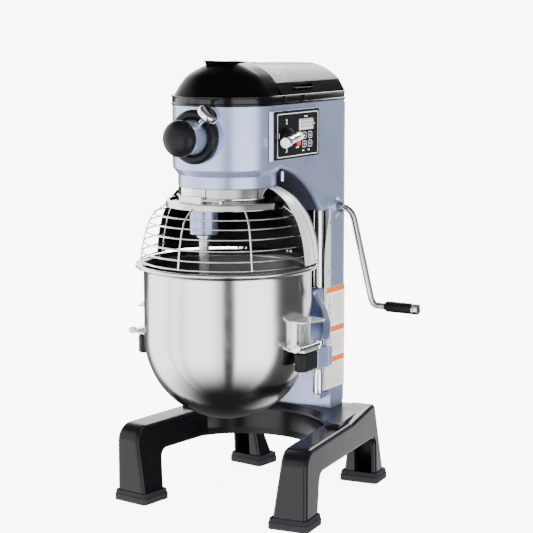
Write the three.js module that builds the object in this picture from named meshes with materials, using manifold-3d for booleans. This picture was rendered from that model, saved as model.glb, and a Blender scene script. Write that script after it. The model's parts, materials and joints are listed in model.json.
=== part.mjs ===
/**
 * Commercial planetary stand mixer, 20 quart (19 litre).
 *
 * A cast base on four splayed legs carries a column and head in one housing. A hand crank on the
 * side raises and lowers the bowl yoke on two guide rods. In the head a motor drives, through two
 * spur gear pairs, a planetary carrier whose agitator shaft circles inside the bowl, and through a
 * bevel pair the attachment hub on the front. A wire guard swings round under the head.
 *
 * Millimetres, +Z up. While it is built, X and Y are measured from the bowl's vertical axis, with
 * the bowl at the front (-Y) and the crank and controls on the operator's right (+X). At the end
 * the whole mixer is moved so that its origin is the centre of the bottom of its bounding box.
 */
import * as THREE from 'three';
import { mergeVertices } from 'three/addons/utils/BufferGeometryUtils.js';
import Module from 'manifold-3d';

const wasm = await Module();
wasm.setup();

// ---------------------------------------------------------------- driving dimensions
const GAP = 0.3; // clearance between pieces that touch
const DEGREE = Math.PI / 180;

const HEAD_R = 103; // half width of head and column, and radius of the head's round front
const HOUSING_WALL = 6;
const HOUSING_REAR = 277;
const HEAD_TOP = 781;
const HEAD_BOTTOM = 665;
const COLUMN_FRONT = 221;
const COLUMN_BOTTOM = 163.3;
const SKIRT_Z = 567; // underside of the head where the guide rods end
const ARCH = { y: -10, z: 430, r: 236 }; // concave underside between collar and column
const COLLAR = { r: 93, inner: 87, top: 651, bottom: 629.3 };
const FLOOR_Z = 675; // floor of the gear space in the head

const BAND = { top: 799, overhang: 2 }; // flange of the top cover
const COVER_WALL = 3;
const ROOF_FRONT = [[0, 862], [24, 859.6], [38, 855.3], [55, 847.4], [69.5, 839], [79, 830.5], [97, 803]];
const TOP_LIP = { halfWidth: 28, front: -36, rear: 60, frontZ: 863.2, rearZ: 858.6, thickness: 2.2 };
const ROOF_BREAK_Y = 32; // where the round front of the cover meets its straight roof
const ROOF_SIDE = { ridgeX: 30, ridgeZ: 857, creaseX: 86, creaseZ: 822, fall: 6 };

const BOWL = { r: 160, wall: 2, rimR: 177, rimZ: 483, centreZ: 340 };
const GUARD_RING = { r: 92.5, inner: 88.5, top: 629, bottom: 597, flangeR: 110 };
const REAR_GUARD = {
  profile: [[94, 628.5], [107, 623], [129, 607], [143.5, 589], [155.6, 570], [164, 548], [169.5, 528],
    [172.5, 508], [174.5, 487]],
  wall: 2, from: -2, to: 175,
};
const CAGE = {
  rings: [[139, 577.4], [148.6, 561.3], [154.5, 543.2], [159.4, 523.3], [162.5, 504.2], [164.6, 487.5]],
  band: [[116, 591], [118, 591], [115, 603], [109.5, 603], [109.5, 600.5], [113, 600.5]],
  wire: 1.9, from: -188.5, to: 7.5, uprights: 5,
};

const AGITATOR = { orbit: 45, phase: -153.4 * DEGREE, shaftR: 9.5, bossR: 27, bossBottom: 534, ribBottom: 590 };
const RING_GEAR = { module: 4.5, ring: 32, pinion: 12, from: 632, to: 644 };
const SPUR = { module: 5, drive: 28, counterPinion: 10, counterWheel: 24, motorPinion: 8 };
const HUB_BEVEL = { module: 4, teeth: 12, face: 9 };
const MAIN_SHAFT_R = 11;
const HUB = {
  z: 726.5, ringR: 50.3, ringBack: -105.3, ringFront: -122, barrelR: 31, barrelFront: -156, bore: 24, capR: 33,
};
const THUMB = { y: -130, tilt: 44 * DEGREE };

const ROD = { x: 87, y: 198, r: 10, bottom: 197.3 };
const YOKE = { inner: 183, outer: 197, armX: 188, armBottom: 288, armTop: 328 };
const CLAMP_PIVOT = { x: 181, y: 32, r: 6 };
const CRANK = { y: 236, z: 571, armR: 6.5, gripZ: 380, gripR: 10.75 };
const LIFT_BEVEL = { module: 2, teeth: 12 };

const BASE = {
  outerX: 206.4, splay: 6.84 * DEGREE, railWidth: 54, footWidth: 72, wall: 8, footTop: 21, socket: 8,
};
const PANEL = { y0: -11, y1: 155.5, z0: 680, z1: 770, bezel: 5.5, plate: 2.2 };
const DISPLAY = { y0: 77, y1: 130.5, z0: 731.8, z1: 753 };
const KEY = { width: 17, height: 14, travel: 1.2, y: [96, 117.5], z: [721.2, 704.8] };
const STOP = { y: 74.5, z: 708.6, r: 6 };
const SELECTOR = { y: 31.8, z: 721.5 };
const COVER_SCREW = { y: [38.5, 111], z: 792 };
const WINDOW = { halfWidth: 94, from: 330, to: 566 }; // open front of the column, round the lift screw

// ---------------------------------------------------------------- materials
const finish = (color, roughness, metalness) => new THREE.MeshStandardMaterial({ color, roughness, metalness });
const paint = finish(0xa9b2ce, 0.35, 0.5);
const blackCast = finish(0x17171b, 0.3, 0.2);
const blackPlastic = finish(0x141416, 0.35, 0);
const rubber = finish(0x3a3a3f, 0.8, 0);
const stainless = finish(0xc9c9cc, 0.25, 1);
const chrome = finish(0xe2e2e6, 0.12, 1);
const steel = finish(0x8f9196, 0.4, 1);
const castAluminium = finish(0xb9bbbd, 0.5, 1);
const brass = finish(0xb08d4a, 0.35, 1);
const panelBlack = finish(0x0e0e10, 0.3, 0);
const displayGrey = finish(0xc4c8c6, 0.3, 0);
const stopRed = finish(0xc2271d, 0.4, 0);
const labelWhite = finish(0xe4e0d6, 0.6, 0);
const copper = finish(0x9a5a33, 0.5, 1);

// ---------------------------------------------------------------- shape helpers
/** Turns a geometry's faces outward if it was built inside out. */
function outward(geometry) {
  const bare = geometry.clone();
  bare.deleteAttribute('normal');
  bare.deleteAttribute('uv');
  const shared = mergeVertices(bare, 1e-4);
  const p = shared.attributes.position;
  const corner = [new THREE.Vector3(), new THREE.Vector3(), new THREE.Vector3()];
  let volume = 0;
  const faces = [];
  for (let i = 0; i < shared.index.count; i += 3) {
    const ids = [0, 1, 2].map((k) => shared.index.getX(i + k));
    if (ids[0] === ids[1] || ids[1] === ids[2] || ids[2] === ids[0]) continue;
    ids.forEach((id, k) => corner[k].fromBufferAttribute(p, id));
    volume += corner[0].dot(corner[1].clone().cross(corner[2]));
    faces.push(ids);
  }
  shared.setIndex(faces.flatMap((ids) => (volume < 0 ? [ids[0], ids[2], ids[1]] : ids)));
  return shared;
}

function toSolid(geometry) {
  const shared = outward(geometry);
  return new wasm.Manifold(new wasm.Mesh({
    numProp: 3,
    vertProperties: new Float32Array(shared.attributes.position.array),
    triVerts: new Uint32Array(shared.index.array),
  }));
}

function toGeometry(solid) {
  const mesh = solid.getMesh();
  const geometry = new THREE.BufferGeometry();
  const positions = new Float32Array((mesh.vertProperties.length / mesh.numProp) * 3);
  for (let i = 0, k = 0; i < mesh.vertProperties.length; i += mesh.numProp, k += 3) {
    positions.set(mesh.vertProperties.subarray(i, i + 3), k);
  }
  geometry.setAttribute('position', new THREE.BufferAttribute(positions, 3));
  geometry.setIndex([...mesh.triVerts]);
  return geometry;
}

const join = (...shapes) => toGeometry(shapes.map(toSolid).reduce((a, b) => a.add(b)));
const cut = (shape, ...tools) => toGeometry(tools.map(toSolid).reduce((a, b) => a.subtract(b), toSolid(shape)));
const common = (a, b) => toGeometry(toSolid(a).intersect(toSolid(b)));
const mirrored = (geometry) => outward(geometry.clone().scale(-1, 1, 1));

const box = (x0, x1, y0, y1, z0, z1) => new THREE.BoxGeometry(x1 - x0, y1 - y0, z1 - z0)
  .translate((x0 + x1) / 2, (y0 + y1) / 2, (z0 + z1) / 2);

/** A closed outline [[a, b], ...] made solid along Z, X or Y. */
const extruded = (outline, depth) => new THREE.ExtrudeGeometry(
  new THREE.Shape(outline.map(([a, b]) => new THREE.Vector2(a, b))), { depth, bevelEnabled: false });
const prismZ = (xy, z0, z1) => extruded(xy, z1 - z0).translate(0, 0, z0);
const basis = (x, y, z) => new THREE.Matrix4().makeBasis(
  new THREE.Vector3(...x), new THREE.Vector3(...y), new THREE.Vector3(...z));
const prismX = (yz, x0, x1) => extruded(yz, x1 - x0)
  .applyMatrix4(basis([0, 1, 0], [0, 0, 1], [1, 0, 0])).translate(x0, 0, 0);
const prismY = (xz, y0, y1) => extruded(xz, y1 - y0)
  .applyMatrix4(basis([1, 0, 0], [0, 0, 1], [0, -1, 0])).translate(0, y1, 0);

/** Points on an arc about (x, y), angles in degrees. */
function arc(x, y, r, from, to, steps) {
  return Array.from({ length: steps + 1 }, (_, i) => {
    const a = (from + ((to - from) * i) / steps) * DEGREE;
    return [x + r * Math.cos(a), y + r * Math.sin(a)];
  });
}

/** A closed profile [[radius, z], ...] turned about Z. */
const revolved = (profile, sides = 28) => outward(new THREE.LatheGeometry(
  [...profile, profile[0]].map(([r, z]) => new THREE.Vector2(r, z)), sides).rotateX(Math.PI / 2));

const rod = (r, z0, z1, sides = 20) => revolved([[0, z0], [r, z0], [r, z1], [0, z1]], sides);
const pipe = (r, bore, z0, z1, sides = 20) => revolved([[bore, z0], [r, z0], [r, z1], [bore, z1]], sides);
const alongX = (geometry) => geometry.rotateY(Math.PI / 2);
const alongFront = (geometry) => geometry.rotateX(Math.PI / 2); // +Z turns to -Y

/** A round bar swept along a curve. */
function bar(curve, r, steps, sides = 8) {
  const section = new THREE.Shape(arc(0, 0, r, 0, 360 - 360 / sides, sides - 1)
    .map(([a, b]) => new THREE.Vector2(a, b)));
  return new THREE.ExtrudeGeometry(section, { steps, extrudePath: curve, bevelEnabled: false });
}

/** A pie-shaped block about Z, for cutting a part of a turned shape. */
const wedge = (from, to, r, z0, z1) => prismZ([[0, 0], ...arc(0, 0, r, from, to, 12)], z0, z1);

/** Gear outline with straight-sided teeth, centred on a tooth at angle `phase`. */
function gearOutline(teeth, module, phase, inward = false) {
  const pitchR = (teeth * module) / 2;
  const step = (2 * Math.PI) / teeth;
  const tip = pitchR + (inward ? -0.85 : 0.85) * module;
  const root = pitchR + (inward ? 1.15 : -1.15) * module;
  const points = [];
  for (let i = 0; i < teeth; i++) {
    const centre = phase + i * step;
    for (const [r, offset] of [[root, -0.26], [tip, -0.11], [tip, 0.11], [root, 0.26]]) {
      points.push([r * Math.cos(centre + offset * step), r * Math.sin(centre + offset * step)]);
    }
  }
  return points;
}

/** Bevel gear below its apex: the teeth shrink towards the apex, `face` wide, pitch cone 45 degrees. */
function bevelGear(teeth, module, face, phase) {
  const pitchR = (teeth * module) / 2;
  const gear = extruded(gearOutline(teeth, module, phase), face).translate(0, 0, -pitchR);
  const p = gear.attributes.position;
  for (let i = 0; i < p.count; i++) {
    const scale = -p.getZ(i) / pitchR;
    p.setXY(i, p.getX(i) * scale, p.getY(i) * scale);
  }
  return gear;
}

const mixer = new THREE.Group();
function addPiece(name, geometry, material, at = [0, 0, 0], turn = [0, 0, 0]) {
  const mesh = new THREE.Mesh(geometry, material);
  mesh.name = name;
  mesh.position.set(...at);
  mesh.rotation.set(...turn);
  mixer.add(mesh);
}

// ---------------------------------------------------------------- base and feet
/** Right rail with its two legs, in its own frame: outer face on X = 0, running along Y. */
function rail() {
  const side = prismX([
    [-72, BASE.socket + GAP], [-72, 122], ...arc(-42, 122, 30, 170, 90, 4), [163, 155], [262, 168], [285, 168],
    [343, BASE.socket + GAP], [291, BASE.socket + GAP], [287, 80], ...arc(270, 80, 16, 20, 90, 2),
    ...arc(15, 79, 16, 90, 170, 2), [-11, BASE.socket + GAP],
  ], -BASE.footWidth, 0);
  const slopeLine = [[-90, 0], [-BASE.footWidth, 8], [-BASE.railWidth, 122], [-BASE.railWidth, 200], [-90, 200]];
  const innerSlope = prismY(slopeLine, -90, 360);
  const channel = prismX([
    [-64, 0], [-64, 120], [-42, 143], [163, 147], [262, 160], [278, 160], [335, 0], [270, 0], [270, 86], [6, 86],
    [6, 0],
  ], -BASE.railWidth + BASE.wall, -BASE.wall);
  return cut(side, innerSlope, channel).rotateZ(BASE.splay).translate(BASE.outerX, 0, 0);
}

function baseCasting() {
  const right = rail();
  const deck = prismZ([[-184, 112], [184, 112], [152, 284], [-152, 284]], 96, COLUMN_BOTTOM - GAP);
  const scoop = revolved([[0, 80], [155, 80], [160, 110], [167, 180], [0, 180]], 40).translate(0, 45, 0);
  const hollow = prismZ([[-118, 226], [118, 226], [112, 276], [-112, 276]], 80, 152);
  return join(right, mirrored(right), cut(deck, scoop, hollow));
}
addPiece('base_casting', baseCasting(), blackCast);

/** Rubber cap round the end of a leg whose section runs from y0 to y1 along the rail. */
function footCap(y0, y1) {
  const w = BASE.footWidth;
  const block = (grow, z0, z1) => box(-w - grow, grow, y0 - grow, y1 + grow, z0, z1);
  const outer = block(5.5, 0, 13);
  const collar = block(3.5, 12, BASE.footTop);
  const socket = block(GAP, BASE.socket, 30);
  return cut(join(outer, collar), socket).rotateZ(BASE.splay).translate(BASE.outerX, 0, 0);
}
for (const [place, y0, y1] of [['front', -72, -9], ['rear', 290, 343]]) {
  addPiece(`foot_${place}_right`, footCap(y0, y1), rubber);
  addPiece(`foot_${place}_left`, mirrored(footCap(y0, y1)), rubber);
}

// ---------------------------------------------------------------- housing
/** Plan of the head: round front, straight sides, square back. */
const headPlan = (r, rear) => [...arc(0, 0, r, 180, 360, 18), [r, rear], [-r, rear]];
/** Concave underside as points [y, z] from the front towards the column. */
const archLine = (r, yFrom, yTo, steps) => Array.from({ length: steps + 1 }, (_, i) => {
  const y = yFrom + ((yTo - yFrom) * i) / steps;
  return [y, ARCH.z + Math.sqrt(r * r - (y - ARCH.y) ** 2)];
});

function mainHousing() {
  const side = [
    [-HEAD_R - 1, HEAD_TOP], [-HEAD_R - 1, HEAD_BOTTOM], ...archLine(ARCH.r, 28, 180, 7), [182.5, SKIRT_Z],
    [COLUMN_FRONT, SKIRT_Z], [COLUMN_FRONT, COLUMN_BOTTOM], [HOUSING_REAR, COLUMN_BOTTOM],
    [HOUSING_REAR, HEAD_TOP],
  ];
  const body = common(prismX(side, -HEAD_R, HEAD_R), prismZ(headPlan(HEAD_R, HOUSING_REAR), 100, 800));
  const underside = revolved([
    [0, 672], [HEAD_R - 0.5, 672], [HEAD_R - 0.5, 667], [101.3, 661], [98.7, 657.7], [COLLAR.r, COLLAR.top],
    [COLLAR.r, COLLAR.bottom], [0, COLLAR.bottom]], 36);
  const archR = ARCH.r + 9;
  const inside = [
    [-HEAD_R, 900], [-HEAD_R, FLOOR_Z], [-12, FLOOR_Z], ...archLine(archR, 0, 168, 5),
    [182, SKIRT_Z + HOUSING_WALL],
    [COLUMN_FRONT + 5, SKIRT_Z + HOUSING_WALL], [COLUMN_FRONT + 5, 169], [400, 169], [400, 900],
  ];
  const inner = HEAD_R - HOUSING_WALL;
  const cavity = common(prismX(inside, -inner, inner), prismZ(headPlan(inner, 400), 100, 900));
  const slot = box(-25, 25, COLUMN_FRONT - 5, COLUMN_FRONT + 12, 215, 592);
  const { halfWidth, from, to } = WINDOW;
  const window = box(-halfWidth, halfWidth, COLUMN_FRONT - 5, COLUMN_FRONT + 5, from, to);
  const hubBoss = alongFront(rod(HUB.ringR - GAP, 70, -HUB.ringBack - GAP, 36)).translate(0, 0, HUB.z);
  const rodFoot = (x) => join(rod(7, 188, ROD.bottom - GAP, 12).translate(x, ROD.y, 0),
    box(x - 6, x + 6, ROD.y, COLUMN_FRONT + 2, 188, 196));
  const bossProfile = [[0, 98], [24, 98], [24, HEAD_R], [17, 105.5], [13, 111.5], [0, 111.5]];
  const crankBoss = cut(alongX(revolved(bossProfile, 20)).translate(0, CRANK.y, CRANK.z),
    box(90, 120, 150, COLUMN_FRONT, 500, SKIRT_Z));
  return cut(join(body, underside, hubBoss, rodFoot(-ROD.x), rodFoot(ROD.x), crankBoss),
    cavity,
    rod(COLLAR.inner, 600, 667, 32),
    rod(25.3, 660, 690, 18),
    slot,
    window,
    alongFront(rod(HUB.barrelR + GAP, 80, 120, 22)).translate(0, 0, HUB.z),
    alongX(rod(8.5, 90, 125)).translate(0, CRANK.y, CRANK.z));
}
addPiece('main_housing', mainHousing(), paint);

addPiece('rear_cover', box(-101, 101, HOUSING_REAR + GAP, HOUSING_REAR + 2.5, 166, 779), paint);

// ---------------------------------------------------------------- top cover
/** Solid of the cover's roof, moved in by `inset` on every side. */
function roof(inset) {
  const bottom = inset ? HEAD_TOP - 10 : BAND.top - 2;
  const front = ROOF_FRONT.map(([r, z]) => [Math.max(r - inset, 0), z - inset]);
  const foot = 101 - inset;
  const halfProfile = [...front, [foot, BAND.top - inset], [foot, bottom]];
  const dome = common(revolved([...halfProfile, [0, bottom]], 28), box(-200, 200, -200, 0.5, 0, 900));
  const flipped = (points) => points.toReversed().filter(([x]) => x > 0).map(([x, z]) => [-x, z]);
  const mirror = (points) => [...points, ...flipped(points)];
  const shoulder = prismY(mirror(halfProfile), 0, ROOF_BREAK_Y);
  const { ridgeX, ridgeZ, creaseX, creaseZ, fall } = ROOF_SIDE;
  const straight = prismY(mirror([[ridgeX - inset, ridgeZ - inset], [creaseX - inset, creaseZ - inset],
    [foot, BAND.top - inset], [foot, bottom]]), ROOF_BREAK_Y - 0.5, HOUSING_REAR - inset);
  const p = straight.attributes.position;
  for (let i = 0; i < p.count; i++) {
    if (p.getZ(i) > creaseZ + 5) p.setZ(i, p.getZ(i) - (fall * p.getY(i)) / HOUSING_REAR);
  }
  return join(dome, shoulder, straight);
}

function topCover() {
  const band = prismZ(headPlan(HEAD_R + BAND.overhang, HOUSING_REAR + BAND.overhang), HEAD_TOP + GAP, BAND.top);
  const insidePlan = headPlan(HEAD_R - COVER_WALL, HOUSING_REAR - COVER_WALL);
  const bandInside = prismZ(insidePlan, HEAD_TOP - 5, BAND.top - COVER_WALL);
  const hood = (x) => box(x - 5, x + 5, 78, 158, 811, 816);
  const lip = TOP_LIP;
  const topLip = prismX([[lip.front, lip.frontZ], [lip.front, lip.frontZ - lip.thickness], [lip.front + 6, 852],
    [lip.rear, 852], [lip.rear, lip.rearZ]], -lip.halfWidth, lip.halfWidth);
  const screwHole = (x, y) => alongX(rod(2.6, -12, 12, 8)).translate(x, y, COVER_SCREW.z);
  return cut(join(band, roof(0), topLip, hood(93), hood(-93)), bandInside, roof(COVER_WALL),
    ...[-HEAD_R, HEAD_R].flatMap((x) => COVER_SCREW.y.map((y) => screwHole(x, y))));
}
addPiece('top_cover', topCover(), blackPlastic);

const coverScrew = join(rod(2.3, -4.5, 0.5, 8), rod(4.4, GAP, 2.6, 10));
for (const [side, x, turn] of [['right', 1, 90], ['left', -1, -90]]) {
  COVER_SCREW.y.forEach((y, i) => addPiece(`cover_screw_${side}_${i + 1}`, coverScrew, blackPlastic,
    [x * (HEAD_R + BAND.overhang), y, COVER_SCREW.z], [0, turn * DEGREE, 0]));
}

// ---------------------------------------------------------------- slideway
const strip = join(
  prismX([[195.5, 204], [195.5, 455], [198, 490], [204, 520], [212, 548], [213, 566], [220.6, 566],
    [220.6, 204]], 101.6, 102.8),
  box(91, 102.8, 219.2, 220.6, 204, 566));
for (const [side, x] of [['right', 1], ['left', -1]]) {
  addPiece(`guide_rod_${side}`, rod(ROD.r, ROD.bottom, SKIRT_Z - GAP, 20), chrome, [x * ROD.x, ROD.y, 0]);
  addPiece(`slideway_strip_${side}`, x > 0 ? strip : mirrored(strip), stainless);
}

// ---------------------------------------------------------------- control panel
function panelPlate() {
  const x0 = HEAD_R + PANEL.bezel + 2 * GAP;
  const face = box(x0, x0 + PANEL.plate, PANEL.y0, PANEL.y1, PANEL.z0, PANEL.z1);
  return { x0, x1: x0 + PANEL.plate, face };
}
const plate = panelPlate();
const bezel = prismZ([[HEAD_R + GAP, PANEL.y0 - 7], [HEAD_R + GAP, PANEL.y1 + 2],
  [HEAD_R + PANEL.bezel, PANEL.y1 + 2], [HEAD_R + PANEL.bezel, PANEL.y0 - 3]], PANEL.z0 - 1.5, PANEL.z1 + 1.5);
addPiece('control_bezel', bezel, paint);

/** Block with a key's outline, larger by `grow` on every side, from x0 to x1. */
const keyBlock = (grow, x0, x1) => box(x0, x1, -KEY.width / 2 - grow, KEY.width / 2 + grow,
  -KEY.height / 2 - grow, KEY.height / 2 + grow);
addPiece('control_panel', cut(plate.face,
  ...KEY.y.flatMap((y) => KEY.z.map((z) => keyBlock(0.4, 100, 130).translate(0, y, z))),
  alongX(rod(STOP.r + 0.4, 90, 130)).translate(0, STOP.y, STOP.z),
  alongX(rod(8, 90, 130)).translate(0, SELECTOR.y, SELECTOR.z)), panelBlack);
addPiece('display_window', box(plate.x1 + GAP, plate.x1 + 1.2, DISPLAY.y0, DISPLAY.y1, DISPLAY.z0, DISPLAY.z1),
  displayGrey);

const keyX0 = plate.x0 + KEY.travel;
const key = keyBlock(0, 0, plate.x1 + 1.4 - keyX0);
const keyNames = [['timer_up_key', 0, 0], ['start_key', 1, 0], ['timer_down_key', 0, 1], ['mode_key', 1, 1]];
for (const [name, column, row] of keyNames) {
  addPiece(name, key, panelBlack, [keyX0, KEY.y[column], KEY.z[row]]);
}
const stopProfile = [[0, 0], [STOP.r, 0], [STOP.r, 3.4], [STOP.r - 1, 4.4], [0, 4.4]];
addPiece('stop_button', alongX(revolved(stopProfile, 16)), stopRed, [keyX0, STOP.y, STOP.z]);

/** Round hub under a bar handle that widens towards its front end. */
function speedSelector() {
  const hub = alongX(revolved([[0, -2], [7.6, -2], [7.6, 0.8], [18, 0.8], [15.5, 9], [0, 10.5]], 18));
  const rear = new THREE.Vector3(12.7, 28.2, 1.4);
  const ahead = new THREE.Vector3(18.7, -38.3, -8.2).sub(rear).normalize();
  const handle = revolved([[0, 0], [7.4, 0], [7.6, 44], [10.2, 56], [10.2, 66], [8.4, 68.5], [0, 68.5]], 14)
    .applyQuaternion(new THREE.Quaternion().setFromUnitVectors(new THREE.Vector3(0, 0, 1), ahead))
    .translate(rear.x, rear.y, rear.z);
  return join(hub, handle);
}
addPiece('speed_selector', speedSelector(), chrome, [plate.x1, SELECTOR.y, SELECTOR.z]);

addPiece('instruction_plate', box(HEAD_R + GAP, HEAD_R + 1.2, 200, 276.5, 204.5, 411), labelWhite);

// ---------------------------------------------------------------- attachment hub
addPiece('hub_ring', alongFront(revolved([[HUB.barrelR + GAP, -HUB.ringBack], [HUB.ringR, -HUB.ringBack],
  [HUB.ringR, 117], [HUB.ringR - 5, -HUB.ringFront], [HUB.barrelR + GAP, -HUB.ringFront]], 24)), blackPlastic,
[0, 0, HUB.z]);

/** A shape that stands on the hub's axis, laid along the thumb screw's direction. */
const onThumbAxis = (geometry) => geometry.rotateY(THUMB.tilt).translate(0, THUMB.y, HUB.z);
addPiece('hub_barrel', cut(
  alongFront(revolved([[HUB.bore, 92], [HUB.barrelR, 92], [HUB.barrelR, -HUB.barrelFront],
    [HUB.bore, -HUB.barrelFront]], 22)).translate(0, 0, HUB.z),
  onThumbAxis(rod(4.3, 10, 40, 12))), paint);
addPiece('hub_cap', alongFront(revolved([
  [0, -HUB.barrelFront - 8], [HUB.bore - 1, -HUB.barrelFront - 8], [HUB.bore - 1, -HUB.barrelFront + GAP],
  [HUB.capR, -HUB.barrelFront + GAP], [HUB.capR, 160], [31, 168], [26.2, 174.5], [17.5, 179], [0, 181.5]], 20)),
blackPlastic, [0, 0, HUB.z]);
const thumbScrew = revolved([[0, 20], [3.9, 20], [3.9, 36], [4.6, 38], [6, 46], [14, 53], [19.5, 55],
  [20.5, 58], [20.5, 64], [18.5, 67.3], [0, 67.9]], 16);
addPiece('hub_thumb_screw', thumbScrew, chrome, [0, THUMB.y, HUB.z], [0, THUMB.tilt, 0]);

// ---------------------------------------------------------------- guards
const ring = GUARD_RING;
addPiece('guard_ring', revolved([
  [ring.inner, ring.bottom], [ring.flangeR, ring.bottom], [ring.flangeR, ring.bottom + 2.5],
  [ring.r, ring.bottom + 2.5], [ring.r, 609], [ring.r + 3, 609], [ring.r + 3, 612], [ring.r, 612],
  [ring.r, ring.top], [ring.inner, ring.top]], 30), stainless);

function rearGuard() {
  const { profile, wall, from, to } = REAR_GUARD;
  const inner = profile.map(([r, z], i) => {
    const [r1, z1] = profile[Math.min(i + 1, profile.length - 1)];
    const [r0, z0] = profile[Math.max(i - 1, 0)];
    const length = Math.hypot(r1 - r0, z1 - z0);
    return [r + (wall * (z1 - z0)) / length, z - (wall * (r1 - r0)) / length];
  });
  const shell = revolved([...profile, ...inner.toReversed()], 32);
  return common(shell, wedge(from, to, 300, 400, 700));
}
addPiece('rear_guard', rearGuard(), stainless);

/** Cage of bent wire rings on curved uprights, with a flat band that runs round the guard ring's flange. */
function wireGuard() {
  const { rings, wire, from, to, uprights } = CAGE;
  const circle = (r, z) => {
    const curve = new THREE.Curve();
    curve.getPoint = (t) => {
      const a = (from + (to - from) * t) * DEGREE;
      return new THREE.Vector3(r * Math.cos(a), r * Math.sin(a), z);
    };
    return curve;
  };
  const band = common(
    revolved(CAGE.band, 24),
    cut(rod(300, 500, 700, 12), wedge(to, 360 + from, 400, 400, 800)));
  const wires = rings.map(([r, z]) => bar(circle(r, z), wire, 12, 4));
  const spine = [[117, 594], ...rings];
  const upright = Array.from({ length: uprights }, (_, i) => {
    const a = (from + 1 + ((to - from - 2) * i) / (uprights - 1)) * DEGREE;
    const points = spine.map(([r, z]) => new THREE.Vector3(r * Math.cos(a), r * Math.sin(a), z));
    return bar(new THREE.CatmullRomCurve3(points), wire, 6, 4);
  });
  return join(band, ...wires, ...upright);
}
addPiece('wire_guard', wireGuard(), chrome);

// ---------------------------------------------------------------- planetary drive
const agitatorAt = [AGITATOR.orbit * Math.cos(AGITATOR.phase), AGITATOR.orbit * Math.sin(AGITATOR.phase)];
const atAgitator = (geometry) => geometry.translate(...agitatorAt, 0);

const ringPhase = AGITATOR.phase + Math.PI / RING_GEAR.ring;
const ringTeeth = gearOutline(RING_GEAR.ring, RING_GEAR.module, ringPhase, true);
addPiece('ring_gear', cut(rod(COLLAR.inner - 3 * GAP, RING_GEAR.from, RING_GEAR.to, 28),
  prismZ(ringTeeth, 600, 700)), steel);

function planetaryCarrier() {
  const disc = revolved([[0, 611], [84, 611], [84, 624], [60, 629], [0, 629]], 28);
  const boss = atAgitator(rod(AGITATOR.bossR, AGITATOR.bossBottom, 615, 20));
  const rib = rod(18, AGITATOR.ribBottom, 615, 16)
    .translate(agitatorAt[0] * 0.35, agitatorAt[1] * 0.35, 0);
  return cut(join(disc, boss, rib), rod(MAIN_SHAFT_R + GAP, 600, 640),
    atAgitator(rod(AGITATOR.shaftR + 0.5, 500, 640)));
}
addPiece('planetary_carrier', planetaryCarrier(), paint);

const planetTeeth = gearOutline(RING_GEAR.pinion, RING_GEAR.module, AGITATOR.phase);
addPiece('agitator_shaft', join(
  atAgitator(rod(AGITATOR.shaftR, 400, 648, 20)),
  atAgitator(prismZ(planetTeeth, RING_GEAR.from, RING_GEAR.to))), chrome);

/** Flat beater: a cast blade that follows the bowl, with windows, on a sleeve. */
function flatBeater() {
  const bowlRadius = (z) => Math.sqrt((BOWL.r - BOWL.wall) ** 2 - Math.max(BOWL.centreZ - z, 0) ** 2);
  const reach = (z) => bowlRadius(z) - AGITATOR.orbit - 6;
  const levels = [365, 340, 305, 270, 240, 220, 205];
  const side = levels.map((z) => [reach(z), z]);
  const outline = [[14, 392], [80, 385], ...side, [0, 193]];
  const both = [...outline, ...outline.toReversed().filter(([x]) => x > 0).map(([x, z]) => [-x, z])];
  const windowHalf = [[12, 378], [74, 371], [92, 352], [92, 318], [84, 286], [66, 256], [46, 236], [12, 218]];
  const windows = [1, -1].map((side) => prismY(windowHalf.map(([x, z]) => [side * x, z]), -20, 20));
  const blade = cut(prismY(both, -7, 7), ...windows);
  return atAgitator(cut(join(blade, rod(17, 375, 455, 20)), rod(AGITATOR.shaftR + GAP, 396, 470, 20)));
}
addPiece('flat_beater', flatBeater(), castAluminium);

const mainShaft = join(
  rod(MAIN_SHAFT_R, 613, 706, 20),
  prismZ(gearOutline(SPUR.drive, SPUR.module, Math.PI / 2), 678, 690),
  bevelGear(HUB_BEVEL.teeth, HUB_BEVEL.module, HUB_BEVEL.face, -Math.PI / 2).translate(0, 0, HUB.z));
addPiece('main_shaft', mainShaft, steel);
addPiece('main_bearing', pipe(24.5, MAIN_SHAFT_R + GAP, 661, 674, 18), steel);

const hubShaft = cut(join(
  bevelGear(HUB_BEVEL.teeth, HUB_BEVEL.module, HUB_BEVEL.face, Math.PI / 2 + Math.PI / HUB_BEVEL.teeth),
  rod(12, -112, -20, 16)), box(-6.5, 6.5, -6.5, 6.5, -130, -88));
addPiece('hub_bushing', alongFront(pipe(HUB.bore - 1, 12.4, 93, 108, 18)), brass, [0, 0, HUB.z]);
addPiece('hub_shaft', hubShaft, steel, [0, 0, HUB.z], [-Math.PI / 2, 0, 0]);

const counterY = (SPUR.module * (SPUR.drive + SPUR.counterPinion)) / 2;
const motorY = counterY + (SPUR.module * (SPUR.counterWheel + SPUR.motorPinion)) / 2;
addPiece('countershaft', join(
  rod(9, 676, 712, 16),
  prismZ(gearOutline(SPUR.counterPinion, SPUR.module, -Math.PI / 2 + Math.PI / SPUR.counterPinion), 678, 690),
  prismZ(gearOutline(SPUR.counterWheel, SPUR.module, Math.PI / 2), 693, 703)), steel, [0, counterY, 0]);
const motorPhase = -Math.PI / 2 + Math.PI / SPUR.motorPinion;
addPiece('motor_rotor', join(
  rod(8, 690, 806, 16), rod(34, 722, 798, 16),
  prismZ(gearOutline(SPUR.motorPinion, SPUR.module, motorPhase), 692, 704)), steel, [0, motorY, 0]);
addPiece('motor_stator', cut(rod(68, 712, 812, 24), rod(35, 716, 806, 20), rod(9, 700, 820, 14)), copper,
  [0, motorY, 0]);

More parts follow.
